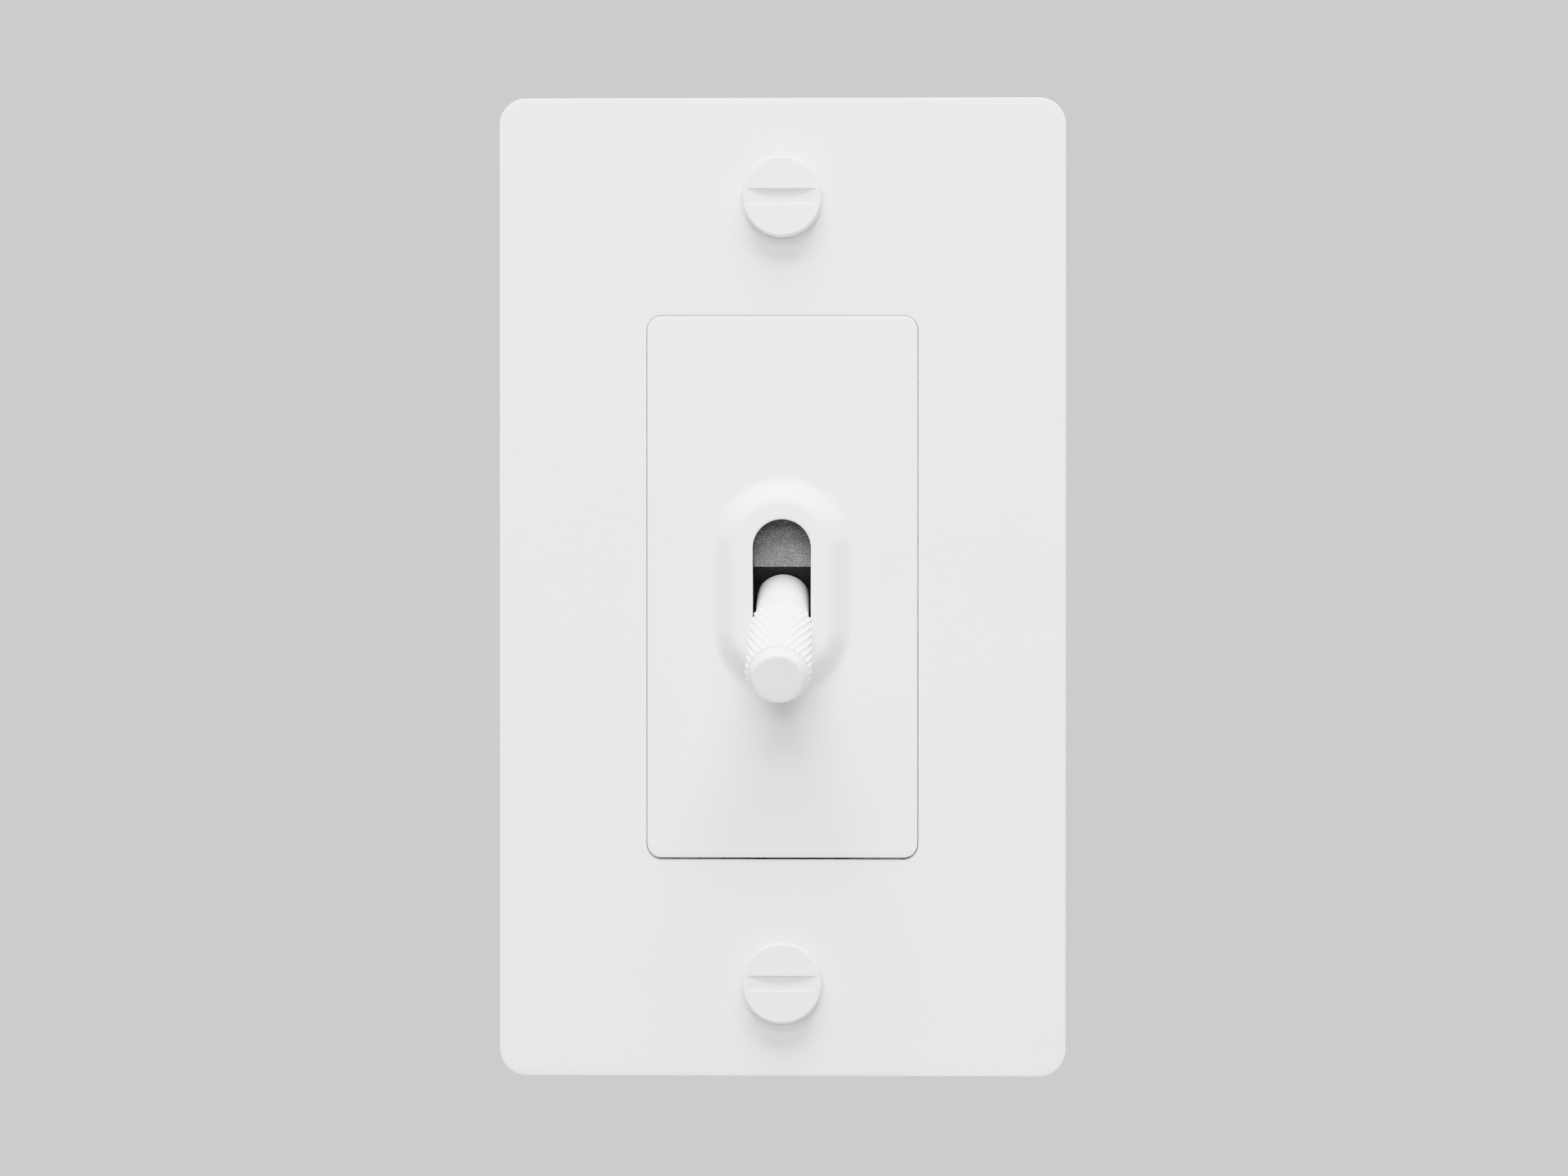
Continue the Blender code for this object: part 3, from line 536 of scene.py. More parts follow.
def coin_screw(name, node):
    """A broad round screw head with a coin slot; its shank is threaded behind the plate."""
    low, high = box_mm(node)
    face = low.y
    radius = (high.x - low.x) / 2
    centre = (low.z + high.z) / 2
    under = face + COIN_HEAD_HEIGHT
    profile = [(COIN_FACE + out, face + back) for out, back in COIN_FACE_EDGE]
    profile += [(radius - inset, face + back) for inset, back in COIN_RIM]
    profile += quarter((radius - COIN_SOFT, under - COIN_SOFT), COIN_SOFT, 0, 90, 3)
    profile += [(COIN_SHANK + COIN_FILLET, under), (COIN_SHANK, under + COIN_FILLET)]
    shell = Shell()
    loops = shell.bands([ring(circle(r, (0, centre)), y) for r, y in profile])
    shell.fill(loops[0], coin_slot(shell, face, centre))
    last = threaded(shell, loops[-1], under + COIN_FILLET, high.y, COIN_SHANK, centre)
    shell.fill(last)
    stand_in(name, shell, node, powder_coat, sharp=34)


def threaded(shell, start, near, far, radius, centre):
    """Carries a shank on from a loop: a helical thread that fades in and out; returns its last loop."""
    pitch = PITCH_SLOPE * radius + PITCH_BASE
    depth = THREAD_DEPTH * pitch
    count = len(start)
    runs = int((far - near) / (pitch / THREAD_STEPS))
    previous = start
    for run in range(1, runs + 1):
        y = near + (far - near) * run / runs
        fade = smooth((y - near) / pitch) * smooth((far - y) / (2 * pitch) + 0.02)
        loop = []
        for i in range(count):
            turn = i / count
            phase = (y / pitch + turn) % 1
            groove = depth * (1 - abs(2 * phase - 1)) * fade
            taper = THREAD_POINT * radius * (1 - smooth((far - y) / pitch))
            size = radius - groove - taper
            angle = math.tau * turn
            point = (size * math.cos(angle), y, centre + size * math.sin(angle))
            loop.append(shell.mesh.verts.new(point))
        shell.band(previous, loop)
        previous = loop
    return previous


# Lever group. Its own frame has the pivot at the origin and the lever along -Y.


def joint(name):
    return next(row for row in frame["joints"] if row["name"] == name)


def lever_frame():
    """The matrix from the lever's own frame to the row frame, in millimetres."""
    inward = Vector(joint("plunger_slide")["axis"]).normalized()
    across = Vector((1, 0, 0))
    turn = Matrix((across, inward, across.cross(inward))).transposed().to_4x4()
    pivot = Vector(joint("lever_hinge")["pos_m"]) / MM
    return Matrix.Translation(pivot) @ turn


LEVER = lever_frame()


def lever_reach(node):
    """How far a node reaches along the lever from the pivot: its nearest and furthest distance."""
    back = LEVER.inverted()
    along = [-(back @ (vertex.co / MM)).y for vertex in frame["nodes"][node].data.vertices]
    return min(along), max(along)


def groove(share):
    """1 in the middle of a knurl groove and 0 on the diamonds, for a position in groove spacings."""
    away = abs(share - round(share))
    return 1 - smooth(away / GROOVE_HALF)


def knurled(along, turn):
    """The grip's radius under its coating: crossed helical grooves leave rows of blunt diamonds."""
    one = groove(KNURL_STARTS * turn + along / KNURL_PITCH)
    other = groove(KNURL_STARTS * turn - along / KNURL_PITCH)
    return GRIP_RADIUS - KNURL_DEPTH * (1 - (1 - one) * (1 - other))


def bat():
    """The coated lever: a smooth neck, a knurled grip and a smooth tip with a flat end."""
    foot, tip = lever_reach("toggle_bat")
    columns = 2 * KNURL_STARTS * KNURL_CELLS
    step = KNURL_PITCH / (2 * KNURL_CELLS)
    soft = NECK_SOFT
    neck = [(BAT_BORE_END, BORE_POINT), (BAT_BORE_END, BAT_BORE_RADIUS - soft)]
    neck += [(BAT_BORE_END - soft, BAT_BORE_RADIUS), (foot, BAT_BORE_RADIUS)]
    neck += [(foot, NECK_RADIUS - soft), (foot + soft, NECK_RADIUS)]
    neck += [(GRIP_FOOT - FLARE_RUN, NECK_RADIUS), (GRIP_FOOT, NECK_RADIUS + NECK_FLARE)]
    rings = [ring(circle(radius, steps=columns), -along) for along, radius in neck]
    rows = math.ceil((GRIP_END - GRIP_FOOT) / step)
    for row in range(1, rows):
        along = GRIP_FOOT + row * step
        up = NECK_RADIUS + NECK_FLARE + (GRIP_RADIUS - NECK_RADIUS) * (along - GRIP_FOOT) / SHOULDER
        down = RING_RADIUS + soft + (GRIP_END - along) * RUN_OUT
        points = []
        for i in range(columns):
            angle = math.tau * (i / columns)
            radius = min(knurled(along, i / columns), up, down)
            points.append((radius * math.cos(angle), -along, radius * math.sin(angle)))
        rings.append(points)
    face_radius = RING_END_RADIUS - FACE_EDGE
    end = [(GRIP_END + back, RING_RADIUS - inset) for back, inset in RING_GROOVE]
    end += [(tip - FACE_EDGE, RING_END_RADIUS), (tip, face_radius), (tip, face_radius - FACE_GUARD)]
    rings += [ring(circle(radius, steps=columns), -along) for along, radius in end]
    shell = Shell()
    loops = shell.bands(rings)
    shell.cap(loops[0], (0, -BAT_BORE_END, 0))
    shell.cap(loops[-1], (0, -tip, 0))
    shell.transform(LEVER)
    stand_in("lever_bat", shell, "toggle_bat", lever_coat_painted_brighter, sharp=60)


def eased_copy(name, node, bevel, *materials):
    """A CAD node's shape with its stray flat edges cleared and its real edges rounded."""
    shape = bmesh.new()
    shape.from_mesh(frame["nodes"][node].data)
    bmesh.ops.remove_doubles(shape, verts=shape.verts, dist=SAME_POINT)
    flat = math.radians(FLAT_ANGLE)
    bmesh.ops.dissolve_limit(shape, angle_limit=flat, verts=shape.verts, edges=shape.edges)
    bmesh.ops.triangulate(shape, faces=[face for face in shape.faces if len(face.verts) > 4])
    data = bpy.data.meshes.new(name)
    shape.to_mesh(data)
    shape.free()
    return stand_in(name, data, node, *materials, bevel=bevel, sharp=32)


def rocker():
    """The black rocker behind the slot: its swept wings are grained, with painted highlight on the pebble tops and
    painted shade in the creases, and its front facet is smooth.
    """
    piece = eased_copy("rocker", "toggle_rocker", 0.12, black_nylon, grained_nylon)
    forward = LEVER.to_3x3() @ Vector((0, -1, 0))
    upward = LEVER.to_3x3() @ Vector((0, 0, 1))
    for face in piece.data.polygons:
        lean = abs(face.normal.dot(upward))
        if face.normal.dot(forward) > WING_LEAN and lean > WING_LEAN:
            face.material_index = 1


# Small parts

HEAD_EDGE = 0.95  # share of its radius past which a point is on a head's side
SHANK_START = 0.3
SHANK_FILLET = 0.12
HEAD_RINGS = (0.35, 0.7)  # shares of the head's radius
HEAD_ROUND = 0.3  # share of the head's height
HEAD_SOFT = 0.05
DRIVE_BASE = 0.14  # half the slot's width on a screw of no size
DRIVE_SLOPE = 0.1
DRIVE_FLOOR = 0.42  # share of the head's height that the slot leaves


def screw_sizes(node, axis):
    """A screw's place and sizes from its CAD node, in millimetres, with its shank along the given axis."""
    axis = Vector(axis)
    points = [vertex.co / MM for vertex in frame["nodes"][node].data.vertices]
    low, high = box_mm(node)
    middle = (low + high) / 2
    along = [point.dot(axis) for point in points]
    offsets = [point - middle for point in points]
    radii = [(offset - axis * offset.dot(axis)).length for offset in offsets]
    head = max(radii)
    under = max(a for a, r in zip(along, radii) if r > HEAD_EDGE * head)
    shank = max(r for a, r in zip(along, radii) if a > under + SHANK_START)
    place = middle - axis * middle.dot(axis)
    return place, min(along), under, max(along), head, shank


def slotted_screw(name, node, axis, material, slot_turn=0.0):
    """A screw with a softened head, a straight slot and a helical thread, standing for a CAD screw."""
    place, top, under, end, head, shank = screw_sizes(node, axis)
    height = under - top
    edge = HEAD_ROUND * height
    soft = HEAD_SOFT
    profile = [(share * head, -height) for share in HEAD_RINGS]
    profile += quarter((head - edge, -height + edge), edge, -90, 0)
    profile += quarter((head - soft, -soft), soft, 0, 90, 2)
    profile += [(shank + SHANK_FILLET, 0), (shank, SHANK_FILLET)]
    shell = Shell()
    loops = shell.bands([ring(circle(r, steps=SCREW_ROUND), y) for r, y in profile])
    shell.cap(loops[0], (0, -height, 0))
    last = threaded(shell, loops[-1], SHANK_FILLET, end - under, shank, 0)
    shell.fill(last)
    half = DRIVE_SLOPE * head + DRIVE_BASE
    floor = -DRIVE_FLOOR * height
    cutter = block((-head - 1, -height - 1, -half), (head + 1, floor, half))
    data = carved(name, shell, (CUT, cutter))
    turn = Vector((0, 1, 0)).rotation_difference(Vector(axis)).to_matrix().to_4x4()
    spin = Matrix.Rotation(slot_turn, 4, "Y")
    data.transform(Matrix.Translation((place + Vector(axis) * under) * MM) @ turn @ spin)
    return stand_in(name, data, node, material, sharp=35)


def turned(profile):
    """A solid of revolution about Y through (y, radius) pairs, closed by a flat end at both ends."""
    shell = Shell()
    loops = shell.bands([ring(circle(radius, steps=SCREW_ROUND), y) for y, radius in profile])
    shell.cap(loops[0], (0, profile[0][0], 0))
    shell.cap(loops[-1], (0, profile[-1][0], 0))
    return shell


def pin():
    """The pivot pin, with bevelled ends."""
    low, high = box_mm("pivot_pin")
    half, radius, cut = high.x, (high.z - low.z) / 2, PIN_CHAMFER
    profile = [(-half, radius - cut), (cut - half, radius), (half - cut, radius), (half, radius - cut)]
    shell = turned(profile)
    shell.transform(LEVER @ Matrix.Rotation(math.pi / 2, 4, "Z"))
    stand_in("hinge_pin", shell, "pivot_pin", plated_steel)


def stud():
    """The lever's steel core: a rod that ends in a ball, with a cross hole for the pin."""
    _, end = lever_reach("bat_stud")
    neck = math.asin(STUD_RADIUS / STUD_BALL)
    profile = []
    for step in range(STUD_BALL_STEPS + 1):
        angle = BALL_FLAT + (math.pi - neck - BALL_FLAT) * step / STUD_BALL_STEPS
        profile.append((STUD_BALL * math.cos(angle), STUD_BALL * math.sin(angle)))
    profile += [(STUD_CHAMFER - end, STUD_RADIUS), (-end, STUD_RADIUS - STUD_CHAMFER)]
    hole = prism(circle(PIN_HOLE, steps=SMALL_ROUND), "X", -STUD_BALL - 1, STUD_BALL + 1)
    data = carved("lever_stud", turned(profile), (CUT, hole))
    data.transform(Matrix.Translation(LEVER.translation * MM) @ LEVER.to_3x3().to_4x4())
    stand_in("lever_stud", data, "bat_stud", plated_steel)


def snap_plunger():
    """The brass plunger: a pip that centres the spring, a sliding barrel and a round nose."""
    back, front = lever_reach("plunger")
    front, back = -front, -back
    profile = [(front + along, radius) for along, radius in PLUNGER_PIP]
    profile.append((PLUNGER_SHOULDER - PLUNGER_CHAMFER, PLUNGER_RADIUS))
    profile.append((PLUNGER_SHOULDER, PLUNGER_RADIUS - PLUNGER_CHAMFER))
    middle = back - PLUNGER_NOSE
    root, turn, steps = NOSE_TURN
    for step in range(steps):
        angle = math.radians(root + turn * step)
        profile.append((middle + PLUNGER_NOSE * math.sin(angle), PLUNGER_NOSE * math.cos(angle)))
    shell = turned(profile)
    shell.transform(LEVER)
    stand_in("plunger_turned", shell, "plunger", brass)


def spring():
    """The coil between the stud's ball and the plunger, drawn at one length; the real coil shortens as the plunger
    moves in.
    """
    back, front = lever_reach("plunger_spring")
    front, back = SPRING_WIRE - front, -back - SPRING_WIRE
    count = SMALL_ROUND * SPRING_TURNS
    points = []
    for step in range(count + 1):
        angle = math.tau * SPRING_TURNS * step / count
        y = front + (back - front) * step / count
        points.append(Vector((SPRING_RADIUS * math.cos(angle), y, SPRING_RADIUS * math.sin(angle))))
    shell = tube(points, SPRING_WIRE)
    shell.transform(LEVER)
    coil = stand_in("snap_spring", shell, "plunger_spring", spring_steel)
    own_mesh(coil)


def tube(points, radius, sides=16):
    """A round wire along a list of points, with flat ends."""
    shell = Shell()
    rings = []
    side = Vector((0, 1, 0))
    for index, point in enumerate(points):
        ahead = points[min(index + 1, len(points) - 1)] - points[max(index - 1, 0)]
        ahead.normalize()
        out = (side - ahead * side.dot(ahead)).normalized()
        up = ahead.cross(out)
        turns = [math.tau * step / sides for step in range(sides)]
        rings.append([point + radius * (out * math.cos(t) + up * math.sin(t)) for t in turns])
    loops = shell.bands(rings)
    shell.fill(loops[0])
    shell.fill(loops[-1])
    return shell


# Strap, housing and terminals

STRAP_WIDTH = 35.0
STRAP_HEIGHT = 69.6
STRAP_CORNER = 1.5
TONGUE_WIDTH = 19.0
EAR_WIDTH = 25.0
EAR_HEIGHT = 7.6
EAR_CORNER = 2
STRAP_BEVEL = 0.12
DEVICE_SLOT = (7.0, 4.3)
TAPPED_RADIUS = 2.0
FIXING_RADIUS = 1.4
ASSEMBLY_X = 11.6
ASSEMBLY_Z = 20.5
ASSEMBLY_HOLE = 1.5
EARTH_TAB_X = 12.4
TAB_THICKNESS = 1.2
TAB_HALF = 3.8
SCREW_CLEARANCE = 0.3

HOUSING_CORNER = 2.5
HOUSING_FLOOR = 2.0
PARTING_GAP = 0.1
HOUSING_BEVEL = 0.18
CAVITY_HALF_X = 10.6
CAVITY_HALF_Z = 17.3
CAVITY_CORNER = 1
NUT_POCKET = (14, 3.6, 0.8)  # width, height and corner
RECESS_X = 12.0
WINDOW_HALF_X = 6.4
WINDOW_HALF_Z = 11.3
WINDOW_MARGIN = 0.4
CHEEK_X = 6.5
CHEEK_THICKNESS = 2.2
CHEEK = (7.0, 9.0, 1.5)  # depth, height and corner
CHEEK_MIDDLE = 3.0  # behind the housing's floor
PIN_BORE_HALF = 10
STRIP_Y = 18.5
STRIP_THICKNESS = 1.0
TERMINAL_HALF = 4.4
WIRE_SCREW_RADIUS = 1.6
WIRE_SCREW_BORE = 2.2
RECESS_FRONT = 7.6
RECESS_MARGIN = 0.7

# Hole radius and corner of the small pierced plates
RETAINER = (2.0, 1.0)
CLAMP = (1.9, 1.0)
PIERCED_BEVEL = 0.1


def assembly_holes(front, back):
    """The Boolean steps that cut the four assembly screws' holes."""
    steps = []
    for x in (ASSEMBLY_X, -ASSEMBLY_X):
        for z in (ASSEMBLY_Z, -ASSEMBLY_Z):
            hole = circle(ASSEMBLY_HOLE, (x, z), SMALL_ROUND)
            steps.append((CUT, prism(hole, "Y", front - 1, back + 1)))
    return steps


def mounting_strap():
    """The stamped steel strap: its ears, screw holes, lever window and bent earth tab."""
    low, high = box_mm("yoke")
    front, back = low.y, 0
    tongue = rounded(TONGUE_WIDTH, high.z - low.z, EAR_CORNER)
    steps = [(ADD, prism(tongue, "Y", front, back))]
    for side in (1, -1):
        ear = rounded(EAR_WIDTH, EAR_HEIGHT, EAR_CORNER, (0, side * (high.z - EAR_HEIGHT / 2)))
        steps.append((ADD, prism(ear, "Y", front, back)))
    screw_low, screw_high = box_mm("ground_screw")
    earth_y, earth_z = (screw_low.y + screw_high.y) / 2, (screw_low.z + screw_high.z) / 2
    outline = [(EARTH_TAB_X, front / 2), (EARTH_TAB_X + TAB_THICKNESS, front / 2)]
    outline += [(EARTH_TAB_X + TAB_THICKNESS, high.y), (EARTH_TAB_X, high.y)]
    steps.append((ADD, prism(outline, "Z", earth_z - TAB_HALF, earth_z + TAB_HALF)))
    hole = circle(WIRE_SCREW_RADIUS + SCREW_CLEARANCE, (earth_y, earth_z), SMALL_ROUND)
    steps.append((CUT, prism(hole, "X", EARTH_TAB_X - 2, EARTH_TAB_X + 3)))
    window = (2 * WINDOW_HALF_X + WINDOW_MARGIN, 2 * WINDOW_HALF_Z + WINDOW_MARGIN)
    cuts = [rounded(*window, CAVITY_CORNER)]
    for label in ("top", "bottom"):
        cuts.append(stadium(*DEVICE_SLOT, (0, middle_z(f"device_screw_{label}"))))
        cuts.append(circle(TAPPED_RADIUS, (0, middle_z(f"plate_screw_{label}")), SMALL_ROUND))
        cuts.append(circle(FIXING_RADIUS, (0, middle_z(f"insert_screw_{label}")), SMALL_ROUND))
    steps += [(CUT, prism(outline, "Y", front - 1, 1)) for outline in cuts]
    steps += assembly_holes(front, back)
    body = prism(rounded(STRAP_WIDTH, STRAP_HEIGHT, STRAP_CORNER), "Y", front, back)
    data = carved("mounting_strap", body, *steps)
    stand_in("mounting_strap", data, "yoke", plated_steel, bevel=STRAP_BEVEL)


def housing_shell_front():
    """The front half of the moulded housing, with the window and the two cheeks that hold the pin."""
    low, high = box_mm("housing_front")
    split = box_mm("housing_back")[0].y - PARTING_GAP
    floor = low.y + HOUSING_FLOOR
    outline = rounded(high.x - low.x, high.z - low.z, HOUSING_CORNER)
    cavity = rounded(2 * CAVITY_HALF_X, 2 * CAVITY_HALF_Z, CAVITY_CORNER)
    steps = [(CUT, prism(cavity, "Y", floor, split + 1))]
    window = rounded(2 * WINDOW_HALF_X, 2 * WINDOW_HALF_Z, CAVITY_CORNER)
    steps.append((CUT, prism(window, "Y", low.y - 1, floor + 1)))
    for side in (-1, 1):
        near, far = sorted((side * CHEEK_X, side * (CHEEK_X + CHEEK_THICKNESS)))
        steps.append((ADD, prism(rounded(*CHEEK, (floor + CHEEK_MIDDLE, 0)), "X", near, far)))
    pin_low, pin_high = box_mm("pivot_pin")
    pin_radius = (pin_high.z - pin_low.z) / 2
    bore = circle(pin_radius + SCREW_CLEARANCE, ((pin_low.y + pin_high.y) / 2, 0), SMALL_ROUND)
    steps.append((CUT, prism(bore, "X", -PIN_BORE_HALF, PIN_BORE_HALF)))
    steps += assembly_holes(low.y, split)
    data = carved("housing_shell_front", prism(outline, "Y", low.y, split), *steps)
    stand_in("housing_shell_front", data, "housing_front", housing_resin, bevel=HOUSING_BEVEL)


WIRE_TERMINALS = {
    "common": ("common_terminal", 1),
    "upper": ("traveller_terminal_upper", -1),
    "lower": ("traveller_terminal_lower", -1),
}


def housing_shell_back():
    """The rear half of the housing, with a recess for each wire terminal."""
    low, high = box_mm("housing_back")
    floor = high.y - HOUSING_FLOOR
    outline = rounded(high.x - low.x, high.z - low.z, HOUSING_CORNER)
    cavity = rounded(2 * CAVITY_HALF_X, 2 * CAVITY_HALF_Z, CAVITY_CORNER)
    steps = [(CUT, prism(cavity, "Y", low.y - 1, floor))]
    for side in (1, -1):
        pocket = rounded(*NUT_POCKET, (0, side * ASSEMBLY_Z))
        steps.append((CUT, prism(pocket, "Y", low.y - 1, floor)))
    for label, (node, side) in WIRE_TERMINALS.items():
        height = middle_z(node)
        half = TERMINAL_HALF + RECESS_MARGIN
        near, far = sorted((side * RECESS_X, side * (high.x + 1)))
        back = STRIP_Y + STRIP_THICKNESS + RECESS_MARGIN
        recess = block((near, RECESS_FRONT, height - half), (far, back, height + half))
        half = TERMINAL_HALF + SCREW_CLEARANCE
        near, far = sorted((side * (CAVITY_HALF_X - 1), side * (RECESS_X + 1)))
        front, back = STRIP_Y - SCREW_CLEARANCE, STRIP_Y + STRIP_THICKNESS + SCREW_CLEARANCE
        slit = block((near, front, height - half), (far, back, height + half))
        screw_low, screw_high = box_mm(f"terminal_screw_{label}")
        middle = ((screw_low.y + screw_high.y) / 2, height)
        bore = prism(circle(WIRE_SCREW_BORE, middle, SMALL_ROUND), "X", near, far)
        steps += [(CUT, recess), (CUT, slit), (CUT, bore)]
    steps += assembly_holes(low.y, high.y)
    data = carved("housing_shell_back", prism(outline, "Y", low.y, high.y), *steps)
    stand_in("housing_shell_back", data, "housing_back", housing_resin, bevel=HOUSING_BEVEL)


def pierced_plate(name, node, axis, hole_radius, corner, material):
    """A thin plate with round corners and a hole in its middle."""
    low, high = box_mm(node)
    flat, thin = (1, 0) if axis == "X" else (0, 1)
    middle = ((low[flat] + high[flat]) / 2, (low.z + high.z) / 2)
    near, far = low[thin], high[thin]
    body = prism(rounded(high[flat] - low[flat], high.z - low.z, corner, middle), axis, near, far)
    hole = prism(circle(hole_radius, middle, SMALL_ROUND), axis, near - 1, far + 1)
    stand_in(name, carved(name, body, (CUT, hole)), node, material, bevel=PIERCED_BEVEL)


# Finishes. Every texture is read in the row frame's metres.


class Finish:
    """A Principled material whose colour, roughness and bump come from layered noises."""

    def __init__(self, name, metallic=0.0, **sockets):
        self.material = bpy.data.materials.new(name)
        self.material.use_nodes = True
        self.nodes = self.material.node_tree.nodes
        self.links = self.material.node_tree.links
        self.shader = self.nodes["Principled BSDF"]
        self.shader.inputs["Metallic"].default_value = metallic
        for socket, value in sockets.items():
            self.shader.inputs[socket.replace("_", " ")].default_value = value
        self.place = self.nodes.new("ShaderNodeTexCoord").outputs["Object"]
        self.normal = None

    def node(self, kind, **inputs):
        """A new shader node, its inputs set to values or linked to outputs; "_" stands for a space."""
        node = self.nodes.new("ShaderNode" + kind)
        for name, value in inputs.items():
            self.feed(node.inputs[name.replace("_", " ")], value)
        return node

    def feed(self, socket, value):
        if isinstance(value, bpy.types.NodeSocket):
            self.links.new(value, socket)
        else:
            socket.default_value = value

    def stretched(self, factors):
        return self.node("Mapping", Vector=self.place, Scale=factors).outputs["Vector"]

    def warped(self, size, amount):
        """The place pushed about by a noise of that size, by up to that amount, both in millimetres."""
        noise = self.node("TexNoise", Vector=self.place, Scale=1 / (size * MM))
        push = self.node("VectorMath")
        push.operation = "MULTIPLY_ADD"
        terms = (noise.outputs["Color"], (2 * amount * MM,) * 3, self.place)
        for socket, value in zip(push.inputs, terms):
            self.feed(socket, value)
        return push.outputs["Vector"]

    def noise(self, size, detail=2.0, roughness=0.5, distortion=0.0, place=None):
        """Noise with features of that size in millimetres."""
        settings = {"Detail": detail, "Roughness": roughness, "Distortion": distortion}
        node = self.node("TexNoise", Vector=place or self.place, Scale=1 / (size * MM), **settings)
        return node.outputs["Fac"]

    def creases(self, size, place):
        """Cells of that size in millimetres: 0 along their borders and more towards their middles."""
        node = self.node("TexVoronoi", Vector=place, Scale=1 / (size * MM))
        node.feature = "DISTANCE_TO_EDGE"
        return node.outputs["Distance"]

    def ramp(self, value, low, high, start, end):
        """The value mapped from low..high to start..end, clamped."""
        node = self.node("MapRange", Value=value, From_Min=low, From_Max=high, To_Min=start, To_Max=end)
        return node.outputs["Result"]

    def blend(self, share, one, other):
        """A colour between two others, each a colour or the output of another blend."""
        node = self.nodes.new("ShaderNodeMix")
        node.data_type = "RGBA"
        self.links.new(share, node.inputs["Factor"])
        for socket, colour in ((node.inputs[6], one), (node.inputs[7], other)):
            self.feed(socket, (*colour, 1.0) if isinstance(colour, tuple) else colour)
        return node.outputs[2]

    def colour(self, output):
        self.links.new(output, self.shader.inputs["Base Color"])

    def roughness(self, output):
        self.links.new(output, self.shader.inputs["Roughness"])

    def bump(self, height, depth):
        """Adds relief of that depth, in micrometres, on top of any before it."""
        node = self.node("Bump", Height=height, Distance=depth * 1e-6)
        if self.normal:
            self.links.new(self.normal, node.inputs["Normal"])
        self.normal = node.outputs["Normal"]
        self.links.new(self.normal, self.shader.inputs["Normal"])


def coat(name, light, dark, peel_depth):
    """A matt powder coat: a soft orange peel, a finer grain and a faint drift of tone."""
    finish = Finish(name, Specular_IOR_Level=0.4)
    peel = finish.noise(0.55, detail=1.5)
    grain = finish.noise(0.16, detail=2.0)
    tone = finish.ramp(finish.noise(9.0, detail=3.0), 0.3, 0.7, 0.0, 1.0)
    finish.colour(finish.blend(tone, light, dark))
    finish.roughness(finish.ramp(grain, 0.3, 0.7, 0.52, 0.66))
    finish.bump(peel, peel_depth)
    finish.bump(grain, 0.45 * peel_depth)
    return finish.material


def nylon(name, colour, worn, roughness, grain_size, grain_depth, shine=0.5):
    """A moulded plastic with a fine spark-eroded grain and faint flow marks."""
    finish = Finish(name, Specular_IOR_Level=shine)
    grain = finish.noise(grain_size, detail=3.0, roughness=0.6)
    flow = finish.noise(2.5, detail=4.0, distortion=1.5)
    finish.colour(finish.blend(finish.ramp(flow, 0.35, 0.7, 0.0, 1.0), colour, worn))
    finish.roughness(finish.ramp(flow, 0.3, 0.7, roughness - 0.06, roughness + 0.08))
    finish.bump(grain, grain_depth)
    return finish.material


def pebbled_nylon(name):
    """A leather-like moulded grain: pebbles parted by creases, with a few darker flecks. The pale pebble tops are
    partly the grain's grey and partly painted highlight; the dark creases are painted shade.
    """
    finish = Finish(name, Specular_IOR_Level=0.3)
    pebble = finish.creases(0.24, finish.warped(0.16, 0.11))
    painted_lit_tops = finish.ramp(pebble, 0.0, 0.5, 0.0, 1.0)
    fine = finish.noise(0.11, detail=2.0, roughness=0.6)
    # Painted light: the pale tops stand partly for highlight on the pebbles, and the dark creases for shade
    # between them.
    shade = finish.blend(painted_lit_tops, (0.12, 0.12, 0.125), (0.72, 0.72, 0.73))
    speck = finish.ramp(fine, 0.42, 0.68, 0.0, 0.7)
    shade = finish.blend(speck, shade, (0.13, 0.13, 0.135))
    drift = finish.ramp(finish.noise(1.1, detail=2.0), 0.4, 0.7, 0.0, 0.35)
    finish.colour(finish.blend(drift, shade, (0.14, 0.14, 0.145)))
    finish.roughness(finish.ramp(fine, 0.3, 0.7, 0.34, 0.56))
    finish.bump(painted_lit_tops, 80)
    finish.bump(fine, 40)
    return finish.material


def metal(name, colour, tarnish, roughness, grain=(1.0, 1.0, 0.06), depth=2.0):
    """Rolled or plated metal: fine streaks along its grain, a cloudy tarnish and small pits."""
    finish = Finish(name, metallic=1.0)
    streak = finish.noise(0.12, detail=3.0, place=finish.stretched(grain))
    cloud = finish.noise(1.8, detail=5.0, roughness=0.6, distortion=0.6)
    pit = finish.ramp(finish.noise(0.25, detail=1.0), 0.66, 0.74, 0.0, 0.6)
    tone = finish.blend(finish.ramp(cloud, 0.35, 0.68, 0.0, 1.0), colour, tarnish)
    finish.colour(finish.blend(pit, tone, tuple(0.55 * c for c in tarnish)))
    finish.roughness(finish.ramp(cloud, 0.3, 0.7, roughness - 0.06, roughness + 0.14))
    finish.bump(streak, depth)
    return finish.material


def painted_steel(name, colour, chip):
    """A dyed screw: its colour is thin at the edges of small chips, where the steel shows."""
    finish = Finish(name, metallic=0.7)
    chips = finish.ramp(finish.noise(0.5, detail=4.0, roughness=0.65), 0.6, 0.66, 0.0, 1.0)
    drift = finish.ramp(finish.noise(1.5), 0.3, 0.7, 0.0, 1.0)
    tone = finish.blend(drift, colour, tuple(0.6 * c for c in colour))
    finish.colour(finish.blend(chips, tone, chip))
    finish.roughness(finish.ramp(finish.noise(0.3), 0.3, 0.7, 0.28, 0.45))
    finish.bump(finish.noise(0.15), 3)
    return finish.material


